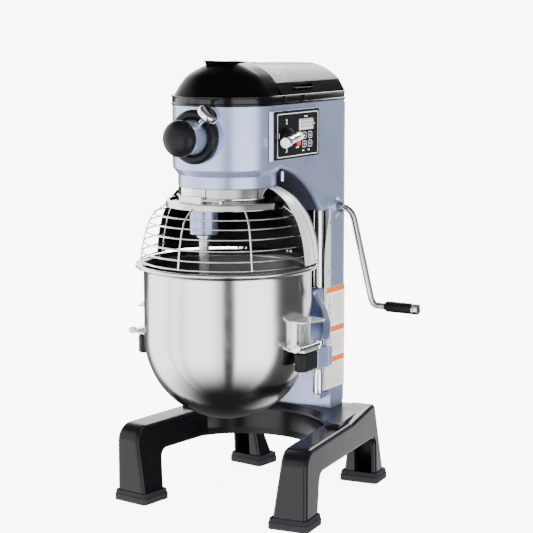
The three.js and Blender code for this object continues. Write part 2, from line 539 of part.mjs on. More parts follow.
// ---------------------------------------------------------------- bowl, yoke and clamps
/** Round-bottomed bowl with a rolled rim. */
function bowl() {
  const { r, wall, rimR, rimZ, centreZ } = BOWL;
  const outer = arc(0, centreZ, r, -90, 0, 7);
  const inner = arc(0, centreZ, r - wall, 0, -90, 7);
  return revolved([...outer, [r, rimZ - 10], [rimR - 1, rimZ - 7], [rimR, rimZ - 2.5],
    [rimR - 4, rimZ], [r - wall, rimZ - 2], ...inner], 26);
}
addPiece('mixing_bowl', bowl(), stainless);

/** Welded bracket on the bowl's side: a channel, a foot that rests on the clamp block, a finger tab. */
function bowlBracket() {
  const channel = cut(box(150, 177, -31, 10, 333, 386), box(140, 174.5, -28, 7, 300, 400));
  const foot = box(150, 189, -34, 14, YOKE.armTop + 2 * GAP, 333.5);
  const tab = prismZ([[150, -34], [181, -36], [203, 4], [199, 24], [172, 32], [150, 20]], 384, 387);
  return cut(join(channel, foot, tab), rod(BOWL.r + GAP, 300, 400, 64));
}
addPiece('bowl_bracket_right', bowlBracket(), stainless);
addPiece('bowl_bracket_left', mirrored(bowlBracket()), stainless);

/** Cradle that wraps the back of the bowl, with arms, slider blocks on the rods and a lug for the nut. */
function yoke() {
  const { inner, outer, armX, armBottom, armTop } = YOKE;
  const top = [[85, 412], [99, 404], [136, 386], [167, 366], [180, 342], [192, armTop]];
  const low = [[192, armBottom], [150, 283], [100, 276]];
  const half = [...top, ...low];
  const profile = [...half, ...half.toReversed().map(([x, z]) => [-x, z])];
  const wall = cut(rod(outer, 200, 500, 40), rod(inner, 100, 600, 40));
  const cradle = common(common(wall, prismY(profile, -300, 300)), wedge(17, 163, 400, 100, 600));
  const arm = box(167, armX, 18.5, 74, armBottom, armTop);
  const slider = box(73, 100.5, 160, 214, 300, 412);
  const lug = box(-19, 19, 180, 256, 318, 362);
  const rodHole = (x) => rod(ROD.r + 0.3, 100, 600, 20).translate(x, ROD.y, 0);
  const pivotHole = (x) => rod(CLAMP_PIVOT.r + 0.3, 100, 600, 14).translate(x, CLAMP_PIVOT.y, 0);
  return cut(join(cradle, arm, mirrored(arm), slider, mirrored(slider), lug),
    rodHole(-ROD.x), rodHole(ROD.x), pivotHole(-CLAMP_PIVOT.x), pivotHole(CLAMP_PIVOT.x),
    rod(15.3, 100, 600, 20).translate(0, CRANK.y, 0));
}
addPiece('bowl_yoke', yoke(), paint);
addPiece('lift_nut', pipe(15, 9.3, 316, 364, 20), brass, [0, CRANK.y, 0]);

const clampBlock = prismZ(
  [[164, 18.2], [164, -26], [168, -34], [177, -38], [186, -34], [190, -26], [190, 18.2]], 292, 328);
addPiece('clamp_block_right', clampBlock, blackPlastic);
addPiece('clamp_block_left', mirrored(clampBlock), blackPlastic);

/** Lever on a vertical pivot bolt; it lies over the bracket's foot and holds the bowl down. */
function clampLever() {
  const bolt = join(rod(CLAMP_PIVOT.r, 280, 340, 14), rod(10.5, 333.8, 345.5, 16), rod(8.5, 279, 287, 6));
  const handle = prismZ([[-4, 8], [8, 6], [8, -86], [-1, -90], [-1, -20], [-4, -8]], 334.2, 341);
  const knob = alongFront(rod(6.5, 84, 97, 14)).translate(2.5, 0, 341);
  return join(bolt, handle, knob);
}
addPiece('clamp_lever_right', clampLever(), chrome, [CLAMP_PIVOT.x, CLAMP_PIVOT.y, 0]);
addPiece('clamp_lever_left', mirrored(clampLever()), chrome, [-CLAMP_PIVOT.x, CLAMP_PIVOT.y, 0]);

// ---------------------------------------------------------------- bowl lift
const liftPitchR = (LIFT_BEVEL.teeth * LIFT_BEVEL.module) / 2;
addPiece('lift_screw', join(
  rod(9, 171, 549, 14),
  rod(7, 540, CRANK.z - liftPitchR + 3, 14),
  bevelGear(LIFT_BEVEL.teeth, LIFT_BEVEL.module, 5, 0).translate(0, 0, CRANK.z)), steel, [0, CRANK.y, 0]);
addPiece('crank_shaft', join(
  bevelGear(LIFT_BEVEL.teeth, LIFT_BEVEL.module, 5, Math.PI / LIFT_BEVEL.teeth),
  rod(8, -116, -liftPitchR + 2, 16)), steel, [0, CRANK.y, CRANK.z], [0, -Math.PI / 2, 0]);

/** Bent crank arm: out of its socket, down and outwards, then out again as the grip's spindle. */
function crankArm() {
  const drop = CRANK.gripZ - CRANK.z;
  const path = new THREE.CurvePath();
  const point = (x, z) => new THREE.Vector3(x, 0, z);
  path.add(new THREE.LineCurve3(point(117, 0), point(120, 0)));
  path.add(new THREE.QuadraticBezierCurve3(point(120, 0), point(138, -1), point(146, -22)));
  path.add(new THREE.LineCurve3(point(146, -22), point(184, drop + 19)));
  path.add(new THREE.QuadraticBezierCurve3(point(184, drop + 19), point(188, drop), point(200, drop)));
  path.add(new THREE.LineCurve3(point(200, drop), point(216, drop)));
  const spindle = alongX(rod(4, 214, 276, 12)).translate(0, 0, drop);
  const sleeve = alongX(cut(rod(10, 112, 120, 14), rod(8 + GAP, 110, 116 + GAP, 16)));
  return join(bar(path, CRANK.armR, 16, 8), sleeve, spindle);
}
addPiece('crank_arm', crankArm(), chrome, [0, CRANK.y, CRANK.z]);
const { gripR } = CRANK;
addPiece('crank_grip', alongX(cut(
  revolved([[0, 217], [7.5, 217], [gripR, 222], [gripR, 288], [gripR - 1, 290], [0, 290]], 20),
  rod(4.5, 210, 277, 12))),
blackPlastic, [0, CRANK.y, CRANK.gripZ]);

// ---------------------------------------------------------------- cord gland
addPiece('cord_gland', join(
  rod(11, HOUSING_REAR + 2.5 + GAP, HOUSING_REAR + 9, 6),
  pipe(8.5, 4.5, HOUSING_REAR + 5, HOUSING_REAR + 24, 16)).rotateX(-Math.PI / 2), blackPlastic, [60, 0, 215]);

// ---------------------------------------------------------------- origin at the bottom centre
mixer.updateMatrixWorld(true);
const bounds = new THREE.Box3().setFromObject(mixer, true);
const centre = bounds.getCenter(new THREE.Vector3());
mixer.position.set(-centre.x, -centre.y, -bounds.min.z);

const commercialStandMixer = new THREE.Group();
commercialStandMixer.add(mixer);
export default commercialStandMixer;
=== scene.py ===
"""Looks of the commercial stand mixer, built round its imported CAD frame.

Shapes are written in millimetres from the bowl's vertical axis on the floor, with the bowl at the front
(-Y) and the crank on +X, and piece() moves each one to the frame, in metres.
"""
import json
import math

import bmesh
import bpy
from mathutils import Matrix, Vector


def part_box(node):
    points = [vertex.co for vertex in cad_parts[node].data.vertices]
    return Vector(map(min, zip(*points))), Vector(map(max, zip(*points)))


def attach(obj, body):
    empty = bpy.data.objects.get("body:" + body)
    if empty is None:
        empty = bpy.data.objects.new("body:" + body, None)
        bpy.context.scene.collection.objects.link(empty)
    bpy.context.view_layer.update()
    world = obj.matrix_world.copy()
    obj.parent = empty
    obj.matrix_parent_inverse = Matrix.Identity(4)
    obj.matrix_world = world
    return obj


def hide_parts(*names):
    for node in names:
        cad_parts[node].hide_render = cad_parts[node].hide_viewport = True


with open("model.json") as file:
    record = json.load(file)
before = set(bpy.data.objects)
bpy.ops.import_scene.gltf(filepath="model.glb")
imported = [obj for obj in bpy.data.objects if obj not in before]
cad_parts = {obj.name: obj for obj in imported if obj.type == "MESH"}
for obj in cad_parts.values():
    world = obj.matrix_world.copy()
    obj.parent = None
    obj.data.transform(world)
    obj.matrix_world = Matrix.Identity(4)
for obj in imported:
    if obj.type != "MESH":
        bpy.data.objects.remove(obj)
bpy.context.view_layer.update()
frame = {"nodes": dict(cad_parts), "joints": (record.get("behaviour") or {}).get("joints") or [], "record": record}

MM = 0.001
JOINTS = {joint["name"]: joint for joint in frame["joints"]}
BODY_OF = {node: body for body, nodes in frame["record"]["behaviour"]["bodies"].items() for node in nodes}
AXIS = Vector((*JOINTS["guard_swing"]["pos_m"][:2], 0.0))


def local(point):
    """A place in the frame, in metres, as millimetres from the bowl's axis."""
    return (Vector(point) - AXIS) / MM


def span(node):
    """Lowest and highest corner of a CAD node, in millimetres from the bowl's axis."""
    low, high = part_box(node)
    return local(low), local(high)


# ---------------------------------------------------------------- sizes that follow the frame
HOUSING_LOW, HOUSING_HIGH = span("main_housing")
HEAD_R = -HOUSING_LOW.x
HOUSING_REAR = HOUSING_HIGH.y
HEAD_TOP = HOUSING_HIGH.z
COLUMN_BOTTOM = HOUSING_LOW.z
COLUMN_FRONT = 221.0
SKIRT_Z = span("guide_rod_right")[1].z + 0.3
BAND_TOP = 799.0
HUB_Z = local(JOINTS["hub_drive_spin"]["pos_m"]).z
AGITATOR = local(JOINTS["agitator_spin"]["pos_m"])
SELECTOR = local(JOINTS["speed_select"]["pos_m"])
CRANK = local(JOINTS["crank_turn"]["pos_m"])
GRIP = local(JOINTS["grip_spin"]["pos_m"])
CLAMP = local(JOINTS["clamp_right_turn"]["pos_m"])
ROD_X = (span("guide_rod_right")[0].x + span("guide_rod_right")[1].x) / 2
ROD_Y = (span("guide_rod_right")[0].y + span("guide_rod_right")[1].y) / 2
BOWL_R, BOWL_CENTRE_Z = 160.0, 340.0
RIM_R, RIM_Z = span("mixing_bowl")[1].x, span("mixing_bowl")[1].z
PANEL_LOW, PANEL_HIGH = span("control_panel")
SPLAY = math.radians(6.84)
BASE_OUTER_X = 206.4


# ---------------------------------------------------------------- camera and light
def new_object(name, data):
    """An object with this data, in the scene."""
    thing = bpy.data.objects.new(name, data)
    bpy.context.scene.collection.objects.link(thing)
    return thing


def add_node(tree, kind, inputs=None, **settings):
    """A shader node with its settings made, and each input given a value or fed by another node's output."""
    node = tree.nodes.new("ShaderNode" + kind)
    for name, value in settings.items():
        setattr(node, name, value)
    for socket, value in (inputs or {}).items():
        if isinstance(value, bpy.types.NodeSocket):
            tree.links.new(value, node.inputs[socket])
        else:
            node.inputs[socket].default_value = value
    return node


def make_camera():
    data = bpy.data.cameras.new("camera")
    data.lens = 113.08
    data.sensor_width = 36.0
    camera = new_object("camera", data)
    camera.location = AXIS + Vector((1.6969, -2.6631, 0.9529))
    camera.rotation_euler = (math.radians(81.35), 0.0, math.radians(31.16))
    bpy.context.scene.camera = camera


# Soft panels round the studio: where each begins, in degrees about +Z, and how bright it is.
PANELS = [
    (-180, 0.95), (-148, 0.6), (-141, 0.95), (-131, 0.68), (-118, 0.95), (-77, 0.7), (-65, 0.025), (-47, 1.0),
    (8, 0.3), (12, 0.03), (72, 0.5), (101, 0.03), (164, 0.95),
]
# The same above the horizon, where a bright backdrop stands behind and to the left.
HIGH_PANELS = [(-180, 0.9), (-150, 0.5), (-80, 0.35), (-30, 0.08), (92, 0.9)]
PANEL_LIGHT = 4.2
SOFT_LIGHT = 1.15
GROUND_LIGHT = 9.0


def make_world():
    """Bright and dark panels for reflections, even light on matt surfaces, a pale ground behind."""
    world = bpy.data.worlds.new("studio")
    bpy.context.scene.world = world
    world.use_nodes = True
    tree = world.node_tree
    tree.nodes.clear()
    place = add_node(tree, "TexCoord")
    parts = add_node(tree, "SeparateXYZ", {0: place.outputs["Generated"]})
    angle = add_node(tree, "Math", {0: parts.outputs["Y"], 1: parts.outputs["X"]}, operation="ARCTAN2")
    turn = add_node(tree, "MapRange", {"From Min": -math.pi, "From Max": math.pi, "Value": angle.outputs[0]})

    def panel_ramp(panels, edge):
        """Brightness round the studio, each border softened over edge degrees to both sides."""
        ramp = add_node(tree, "ValToRGB", {0: turn.outputs[0]})
        stops = [(0.0, panels[0][1])]
        for (_, before), (start, level) in zip(panels, panels[1:]):
            stops += [((start - edge + 180) / 360, before), ((start + edge + 180) / 360, level)]
        stops.append((1.0, panels[-1][1]))
        elements = ramp.color_ramp.elements
        while len(elements) < len(stops):
            elements.new(0.5)
        for element, (position, level) in zip(elements, stops):
            element.position = position
            element.color = (level, level, level * 1.01, 1.0)
        return ramp.outputs["Color"]

    def height_mix(low, high, value, colour_in):
        """Turns to an even value, or another colour, where the direction climbs from low to high."""
        rise = add_node(tree, "MapRange", {"From Min": low, "From Max": high, "Value": parts.outputs["Z"]},
                        interpolation_type="SMOOTHSTEP")
        beyond = (value, value, value, 1.0) if isinstance(value, float) else value
        mix = add_node(tree, "Mix", {"Factor": rise.outputs[0], "A": colour_in, "B": beyond},
                       data_type="RGBA")
        return mix.outputs["Result"]

    def background(strength, colour=(1.0, 1.0, 1.0, 1.0)):
        return add_node(tree, "Background", {"Strength": strength, "Color": colour}).outputs[0]

    def choose(factor, first, second):
        return add_node(tree, "MixShader", {0: factor, 1: first, 2: second}).outputs[0]

    lit = height_mix(-0.02, 0.10, panel_ramp(HIGH_PANELS, 8.0), panel_ramp(PANELS, 2.0))
    lit = height_mix(0.45, 0.70, 0.03, lit)
    lit = height_mix(-0.40, -0.97, 0.006, lit)
    path = add_node(tree, "LightPath")
    light = choose(path.outputs["Is Glossy Ray"], background(SOFT_LIGHT), background(PANEL_LIGHT, lit))
    seen = choose(path.outputs["Is Camera Ray"], light, background(GROUND_LIGHT))
    add_node(tree, "OutputWorld", {"Surface": seen})


def make_light(name, place, size, power, glossy=False):
    data = bpy.data.lights.new(name, "AREA")
    data.shape = "RECTANGLE"
    data.size, data.size_y = size
    data.energy = power
    light = new_object(name, data)
    light.location = place
    aim = Vector((0.0, 0.0, 0.45)) - Vector(place)
    light.rotation_euler = aim.to_track_quat("-Z", "Y").to_euler()
    light.visible_camera = False
    light.visible_glossy = glossy


def make_stage():
    """A pale paper floor, as bright to the camera as the ground behind it, and soft lamps."""
    floor = new_object("floor", bpy.data.meshes.new("floor"))
    half = 40.0
    corners = [(-half, -half, 0), (half, -half, 0), (half, half, 0), (-half, half, 0)]
    floor.data.from_pydata(corners, [], [(0, 1, 2, 3)])
    material = bpy.data.materials.new("floor_paper")
    material.use_nodes = True
    tree = material.node_tree
    shader = tree.nodes["Principled BSDF"]
    shader.inputs["Base Color"].default_value = (0.93, 0.93, 0.93, 1.0)
    shader.inputs["Roughness"].default_value = 0.9
    shader.inputs["Emission Color"].default_value = (1.0, 1.0, 1.0, 1.0)
    seen = add_node(tree, "LightPath")
    glow = add_node(tree, "Math", {0: seen.outputs["Is Camera Ray"], 1: 5.4, 2: 2.0},
                    operation="MULTIPLY_ADD")
    tree.links.new(glow.outputs[0], shader.inputs["Emission Strength"])
    floor.data.materials.append(material)
    floor.visible_glossy = False
    make_light("key", (-1.6, -2.2, 2.3), (1.8, 1.8), 45)
    make_light("fill", (2.6, -0.6, 1.6), (1.6, 2.0), 45)
    make_light("rear", (-0.7, 2.7, 2.2), (2.4, 0.8), 80, glossy=True)


# ---------------------------------------------------------------- finishes
def srgb(*levels):
    """Linear colour of an sRGB colour from 0 to 255."""
    linear = [c / 255 / 12.92 if c <= 10 else ((c / 255 + 0.055) / 1.055) ** 2.4 for c in levels]
    return (*linear, 1.0)


def finish_look(name, colour, metallic=0.0, roughness=(0.3, 0.4), grain=(1, 1, 1), scale=250.0, tint=0.06,
                depth=0.02, wear=0.0, fleck=0.0, **constants):
    """A finish whose colour, roughness and fine relief wander with noise in the part's own space.

    grain stretches the relief, depth is its height in millimetres, wear brightens sharp edges and fleck adds
    small light grains to the colour. Constants are sockets of the shader.
    """
    material = bpy.data.materials.new(name)
    material.use_nodes = True
    tree = material.node_tree
    shader = tree.nodes["Principled BSDF"]
    place = add_node(tree, "TexCoord").outputs["Object"]

    def noise(size, stretch, detail=3.0):
        mapping = add_node(tree, "Mapping", {"Scale": stretch, "Vector": place})
        texture = add_node(tree, "TexNoise", {"Scale": size, "Detail": detail, "Vector": mapping.outputs[0]})
        return texture.outputs["Fac"]

    def spread(value, low, high, inside=(0.3, 0.7)):
        between = add_node(tree, "MapRange", {"From Min": inside[0], "From Max": inside[1], "To Min": low,
                                              "To Max": high, "Value": value})
        return between.outputs[0]

    def blend(factor, first, second):
        mix = add_node(tree, "Mix", {"Factor": factor, "A": first, "B": second}, data_type="RGBA")
        return mix.outputs["Result"]

    def brighter(gain, lift):
        return tuple(min(c * gain + lift, 1.0) for c in colour[:3]) + (1.0,)

    cloud, fine = noise(9.0, (1, 1, 1)), noise(scale, grain)
    darker = tuple(c * (1 - tint) for c in colour[:3]) + (1.0,)
    tone = blend(spread(cloud, 0.0, 1.0), darker, brighter(1 + tint, 0.0))
    if fleck:
        grains = spread(noise(1500.0, (1, 1, 1), 1.0), 0.0, fleck, (0.62, 0.72))
        tone = blend(grains, tone, brighter(3, 0.12))
    if wear:
        geometry = add_node(tree, "NewGeometry")
        edges = spread(geometry.outputs["Pointiness"], 0.0, wear, (0.53, 0.62))
        tone = blend(edges, tone, brighter(1.25, 0.05))
    smudge = add_node(tree, "Math", {0: spread(cloud, *roughness), 1: spread(fine, -0.015, 0.015)},
                      operation="ADD")
    relief = add_node(tree, "Bump", {"Strength": 1.0, "Distance": depth * MM, "Height": fine})
    for socket, value in (("Base Color", tone), ("Roughness", smudge.outputs[0]),
                          ("Normal", relief.outputs[0])):
        tree.links.new(value, shader.inputs[socket])
    shader.inputs["Metallic"].default_value = metallic
    for socket, value in constants.items():
        shader.inputs[socket.replace("_", " ")].default_value = value
    return material


PAINT = finish_look("body_paint", srgb(158, 170, 204), 0.72, (0.25, 0.33), scale=900, tint=0.02, depth=0.012,
                    fleck=0.08, wear=0.2, Coat_Weight=0.12, Coat_Roughness=0.12, Specular_IOR_Level=0.3)
# Darker, duller copy of the body paint for the arch's concave underside: painted shade.
PAINT_SHADE = finish_look("body_paint_painted_shade", srgb(66, 68, 80), 0.2, (0.42, 0.52), scale=900, tint=0.05,
                          depth=0.02, Specular_IOR_Level=0.2)
BLACK_CAST = finish_look("base_black", srgb(11, 11, 14), 0.0, (0.18, 0.26), scale=700, tint=0.15, depth=0.03,
                         fleck=0.04, wear=0.25, Specular_IOR_Level=0.22)
COVER = finish_look("cover_black", srgb(5, 5, 6), 0.0, (0.20, 0.28), scale=500, tint=0.1, depth=0.004,
                    Specular_IOR_Level=0.03)
COVER_BAND = finish_look("band_black", srgb(7, 7, 9), 0.0, (0.12, 0.20), scale=500, tint=0.1, depth=0.004,
                         Specular_IOR_Level=0.30)
# Lighter, flecked copy of the cover black for the roof slopes: its colour and bright flecks are a painted sheen,
# over a real grain relief.
COVER_GRAIN_SHEEN = finish_look("cover_grain_painted_sheen", srgb(22, 22, 27), 0.0, (0.26, 0.36), scale=420, tint=0.2, depth=0.6,
                          fleck=0.25, Specular_IOR_Level=0.14)
PLASTIC = finish_look("black_plastic", srgb(16, 16, 19), 0.0, (0.30, 0.40), scale=800, tint=0.1, depth=0.02,
                      wear=0.2, Specular_IOR_Level=0.15)
RING_BLACK = finish_look("ring_black", srgb(14, 14, 16), 0.0, (0.20, 0.28), scale=800, tint=0.1, depth=0.01,
                         wear=0.2, Specular_IOR_Level=0.16)
RUBBER = finish_look("foot_rubber", srgb(30, 30, 35), 0.0, (0.6, 0.75), scale=600, tint=0.1, depth=0.05,
                     wear=0.4, Specular_IOR_Level=0.2)
STEEL_SPUN = finish_look("bowl_steel", srgb(214, 213, 211), 1.0, (0.13, 0.24), grain=(0.05, 0.05, 1),
                         scale=1400, tint=0.03, depth=0.018)
STEEL_FLAT = finish_look("sheet_steel", srgb(226, 226, 228), 0.75, (0.22, 0.32), grain=(1, 1, 0.05),
                         scale=900, tint=0.03, depth=0.012)
STRIP = finish_look("strip_steel", srgb(228, 228, 232), 0.45, (0.26, 0.36), grain=(1, 1, 0.05), scale=900,
                    tint=0.03, depth=0.01)
# Dark copy of the bowl steel for the inside of the bowl and the rear shield: painted shade.
STEEL_SHADE = finish_look("steel_painted_shade", srgb(84, 83, 82), 1.0, (0.26, 0.34), grain=(0.05, 0.05, 1),
                          scale=300, tint=0.04, depth=0.001)
POLISHED = finish_look("polished_steel", srgb(222, 221, 219), 1.0, (0.06, 0.13), grain=(0.05, 0.05, 1),
                       scale=900, tint=0.02, depth=0.004)
CHROME = finish_look("chrome", srgb(232, 232, 234), 1.0, (0.05, 0.10), scale=120, tint=0.02, depth=0.003)
WIRE = finish_look("wire_steel", srgb(236, 236, 236), 1.0, (0.14, 0.22), scale=400, tint=0.03, depth=0.01)
MACHINED = finish_look("machined_steel", srgb(150, 152, 156), 1.0, (0.28, 0.40), grain=(1, 1, 0.1), scale=900,
                       tint=0.08, depth=0.02, wear=0.3)
CAST_ALUMINIUM = finish_look("cast_aluminium", srgb(190, 192, 194), 0.9, (0.38, 0.52), scale=500, tint=0.06,
                             depth=0.05, wear=0.2)
BRONZE = finish_look("bronze", srgb(186, 146, 84), 1.0, (0.25, 0.38), scale=700, tint=0.1, depth=0.02)
COPPER = finish_look("copper", srgb(170, 96, 58), 1.0, (0.35, 0.5), grain=(1, 1, 6), scale=400, tint=0.15,
                     depth=0.2)
PANEL_BLACK = finish_look("panel_black", srgb(14, 14, 16), 0.0, (0.26, 0.34), scale=900, tint=0.1,
                          depth=0.006, Specular_IOR_Level=0.2)
DISPLAY = finish_look("display", srgb(196, 200, 198), 0.0, (0.18, 0.26), scale=700, tint=0.03, depth=0.01,
                      Coat_Weight=0.5)
RED = finish_look("stop_red", srgb(206, 40, 30), 0.0, (0.28, 0.36), scale=600, tint=0.06, depth=0.01)
IVORY = finish_look("ivory_plastic", srgb(236, 228, 204), 0.0, (0.25, 0.35), scale=600, tint=0.02, depth=0.01)
WHITE = finish_look("white_plastic", srgb(240, 240, 238), 0.0, (0.25, 0.35), scale=600, tint=0.02, depth=0.01)
PRINT_WHITE = finish_look("print_white", srgb(226, 228, 230), 0.0, (0.4, 0.5), scale=600, tint=0.02,
                          depth=0.004)
PRINT_GREY = finish_look("print_grey", srgb(128, 126, 120), 0.0, (0.5, 0.6), scale=600, tint=0.05,
                         depth=0.004)
PRINT_ORANGE = finish_look("print_orange", srgb(218, 100, 0), 0.0, (0.45, 0.55), scale=600, tint=0.04,
                           depth=0.004, Specular_IOR_Level=0.05)
LABEL = finish_look("label_film", srgb(224, 221, 212), 0.0, (0.42, 0.52), scale=400, tint=0.03, depth=0.01)
# Near-black, used as painted shade inside the column opening and on the floors of the cover's side slots, and as
# the real dark seams of the guard collar.
SHADE_AND_SEAM_BLACK = finish_look("painted_shade_and_seam_black", srgb(12, 12, 14), 0.0, (0.5, 0.6), scale=500, tint=0.1, depth=0.05)


# ---------------------------------------------------------------- shape helpers
def mesh_object(name, points, faces):
    """An object from points and faces, with its faces turned outward."""
    mesh = bpy.data.meshes.new(name)
    mesh.from_pydata([tuple(p) for p in points], [], faces)
    work = bmesh.new()
    work.from_mesh(mesh)
    bmesh.ops.remove_doubles(work, verts=work.verts, dist=1e-5)
    bmesh.ops.recalc_face_normals(work, faces=work.faces)
    work.to_mesh(mesh)
    work.free()
    return new_object(name, mesh)


def rounded(points, radius, steps=5):
    """The closed outline with its corners turned into arcs; a third value on a point is its own radius."""
    out = []
    for i, point in enumerate(points):
        here = Vector(point[:2])
        r = point[2] if len(point) > 2 else radius
        before = Vector(points[i - 1][:2]) - here
        after = Vector(points[(i + 1) % len(points)][:2]) - here
        corner = before.angle(after)
        if r <= 0 or corner > math.pi - 0.02:
            out.append(tuple(here))
            continue
        reach = min(r / math.tan(corner / 2), 0.49 * before.length, 0.49 * after.length)
        r = reach * math.tan(corner / 2)
        centre = here + (before.normalized() + after.normalized()).normalized() * (r / math.sin(corner / 2))
        start = here + before.normalized() * reach - centre
        end = here + after.normalized() * reach - centre
        first = math.atan2(start.y, start.x)
        turn = (math.atan2(end.y, end.x) - first + math.pi) % (2 * math.pi) - math.pi
        for k in range(steps + 1):
            a = first + turn * k / steps
            out.append((centre.x + r * math.cos(a), centre.y + r * math.sin(a)))
    return out


def arc(x, y, r, start, stop, steps):
    angles = [math.radians(start + (stop - start) * k / steps) for k in range(steps + 1)]
    return [(x + r * math.cos(a), y + r * math.sin(a)) for a in angles]


def smooth_line(points, per=6):
    """A Catmull-Rom curve through the points."""
    points = [Vector(p) for p in points]
    out = []
    for i in range(len(points) - 1):
        before = points[i - 1] if i else 2 * points[0] - points[1]
        after = points[i + 2] if i + 2 < len(points) else 2 * points[-1] - points[-2]
        a, b = points[i], points[i + 1]
        for k in range(per):
            t = k / per
            out.append(0.5 * (2 * a + (b - before) * t + (2 * before - 5 * a + 4 * b - after) * t * t
                              + (3 * a - before - 3 * b + after) * t ** 3))
    return [tuple(p) for p in out] + [tuple(points[-1])]


def mirror_line(points):
    """A half outline that starts on its middle, closed with its mirror image."""
    return [*points, *[(-p[0], *p[1:]) for p in reversed(points) if p[0] > 1e-6]]


def lathe(name, profile, sides=96, start=0.0, stop=360.0):
    """The closed profile of (radius, height) turned about Z."""
    full = stop - start > 359.999
    count = sides if full else sides + 1
    points, rings, faces = [], [], []
    for r, z in profile:
        ring = []
        for i in range(count):
            a = math.radians(start + (stop - start) * i / sides)
            if r > 1e-6 or not ring:
                points.append((r * math.cos(a), r * math.sin(a), z))
            ring.append(len(points) - 1)
        rings.append(ring)
    for j, ring in enumerate(rings):
        following = rings[(j + 1) % len(rings)]
        for i in range(sides):
            k = (i + 1) % count
            face = list(dict.fromkeys((ring[i], ring[k], following[k], following[i])))
            if len(face) > 2:
                faces.append(face)
    if not full:
        faces += [[ring[0] for ring in rings], [ring[-1] for ring in rings]]
    return mesh_object(name, points, faces)


def loft(name, rings):
    """A solid through rings with the same number of points, closed at both ends."""
    count = len(rings[0])
    points = [p for ring in rings for p in ring]
    faces = [[j * count + i, j * count + (i + 1) % count, (j + 1) * count + (i + 1) % count,
              (j + 1) * count + i] for j in range(len(rings) - 1) for i in range(count)]
    last = (len(rings) - 1) * count
    return mesh_object(name, points, [*faces, list(range(count)), list(range(last, last + count))])


def spun(name, profile, sides, steps=5):
    """The profile turned about Z; a third value on a point is the radius of its rounded corner."""
    return lathe(name, rounded(profile, 0, steps), sides)


def cylinder(name, r, low, high, sides):
    """A plain round bar along Z, mostly a cutter for holes."""
    return lathe(name, [(0, low), (r, low), (r, high), (0, high)], sides)


def rect(a0, a1, b0, b1):
    """Outline of a rectangle."""
    return [(a0, b0), (a1, b0), (a1, b1), (a0, b1)]


LAY = {
    "X": lambda a, b, h: (h, a, b),
    "Y": lambda a, b, h: (a, h, b),
    "Z": lambda a, b, h: (a, b, h),
}


def prism(name, outline, low, high, along="Z", edge=0.0, steps=3):
    """The outline made solid along an axis, with both rims rounded by edge."""
    lay = LAY[along]
    thing = loft(name, [[lay(a, b, h) for a, b in outline] for h in (low, high)])
    if edge:
        work = bmesh.new()
        work.from_mesh(thing.data)
        side = "XYZ".index(along)
        rims = [e for e in work.edges if abs(e.verts[0].co[side] - e.verts[1].co[side]) < 1e-4]
        bmesh.ops.bevel(work, geom=rims, offset=edge, segments=steps, profile=0.5, affect="EDGES",
                        clamp_overlap=True)
        work.to_mesh(thing.data)
        work.free()
    return thing


def box(name, low, high, edge=0.0):
    """A block with rounded edges."""
    (x0, y0, z0), (x1, y1, z1) = low, high
    outline = rounded(rect(x0, x1, y0, y1), edge, 3)
    return prism(name, outline, z0, z1, "Z", edge)


def side_box(name, s, low, high, edge=0.0):
    """A block given for the right side, on the side that s says."""
    x0, x1 = sorted((s * low[0], s * high[0]))
    return box(name, (x0, *low[1:]), (x1, *high[1:]), edge)


def polygon(r, sides, turn=0.0):
    """Outline of a regular polygon."""
    angles = [math.radians(360 / sides * k + turn) for k in range(sides)]
    return [(r * math.cos(a), r * math.sin(a)) for a in angles]


def sweep(name, path, radius, sides=14, round_ends=False):
    """A round bar along a path of points; radius may be a function of the share of the length."""
    path = [Vector(p) for p in path]
    size = radius if callable(radius) else (lambda share: radius)
    rings, side = [], None
    for i, point in enumerate(path):
        ahead = (path[min(i + 1, len(path) - 1)] - path[max(i - 1, 0)]).normalized()
        side = ahead.orthogonal() if side is None else side - ahead * side.dot(ahead)
        side.normalize()
        other = ahead.cross(side)
        r = size(i / (len(path) - 1))
        angles = [2 * math.pi * k / sides for k in range(sides)]
        rings.append([point + (side * math.cos(a) + other * math.sin(a)) * r for a in angles])
    if round_ends:
        for ring, point, beyond in ((rings[0], path[0], path[0] - path[1]),
                                    (rings[-1], path[-1], path[-1] - path[-2])):
            out = beyond.normalized()
            r = (ring[0] - point).length
            caps = [[point + (p - point) * c + out * r * s for p in ring] for c,
                    s in ((0.87, 0.45), (0.5, 0.8))]
            if ring is rings[0]:
                rings = [caps[1], caps[0], *rings]
            else:
                rings = [*rings, caps[0], caps[1]]
    return loft(name, rings)


def bake(thing):
    """Makes the object's modifiers part of its mesh."""
    shown = thing.evaluated_get(bpy.context.evaluated_depsgraph_get())
    mesh = bpy.data.meshes.new_from_object(shown)
    thing.modifiers.clear()
    thing.data = mesh
    return thing


def combine(first, others, how):
    """Boolean of closed solids; a solver that loses the shape gives way to the next."""
    for other in others:
        before = first.data
        for solver in ("EXACT", "MANIFOLD"):
            first.data = before
            tool = first.modifiers.new("solid", "BOOLEAN")
            tool.operation = how
            tool.solver = solver
            tool.object = other
            bake(first)
            if first.data.polygons:
                break
        bpy.data.objects.remove(other)
    return first


def cut(first, *others):
    return combine(first, others, "DIFFERENCE")


def join(first, *others):
    return combine(first, others, "UNION")


def common(first, *others):
    return combine(first, others, "INTERSECT")


def soften(thing, width, segments=3, angle=32.0):
    """Rounds every edge that turns by more than the angle."""
    tool = thing.modifiers.new("edges", "BEVEL")
    tool.width = width
    tool.segments = segments
    tool.limit_method = "ANGLE"
    tool.angle_limit = math.radians(angle)
    tool.use_clamp_overlap = True
    tool.miter_outer = "MITER_ARC"
    return bake(thing)


def turned(thing, matrix):
    thing.data.transform(matrix)
    if matrix.determinant() < 0:
        thing.data.flip_normals()
    return thing


def moved(thing, x=0.0, y=0.0, z=0.0):
    return turned(thing, Matrix.Translation((x, y, z)))


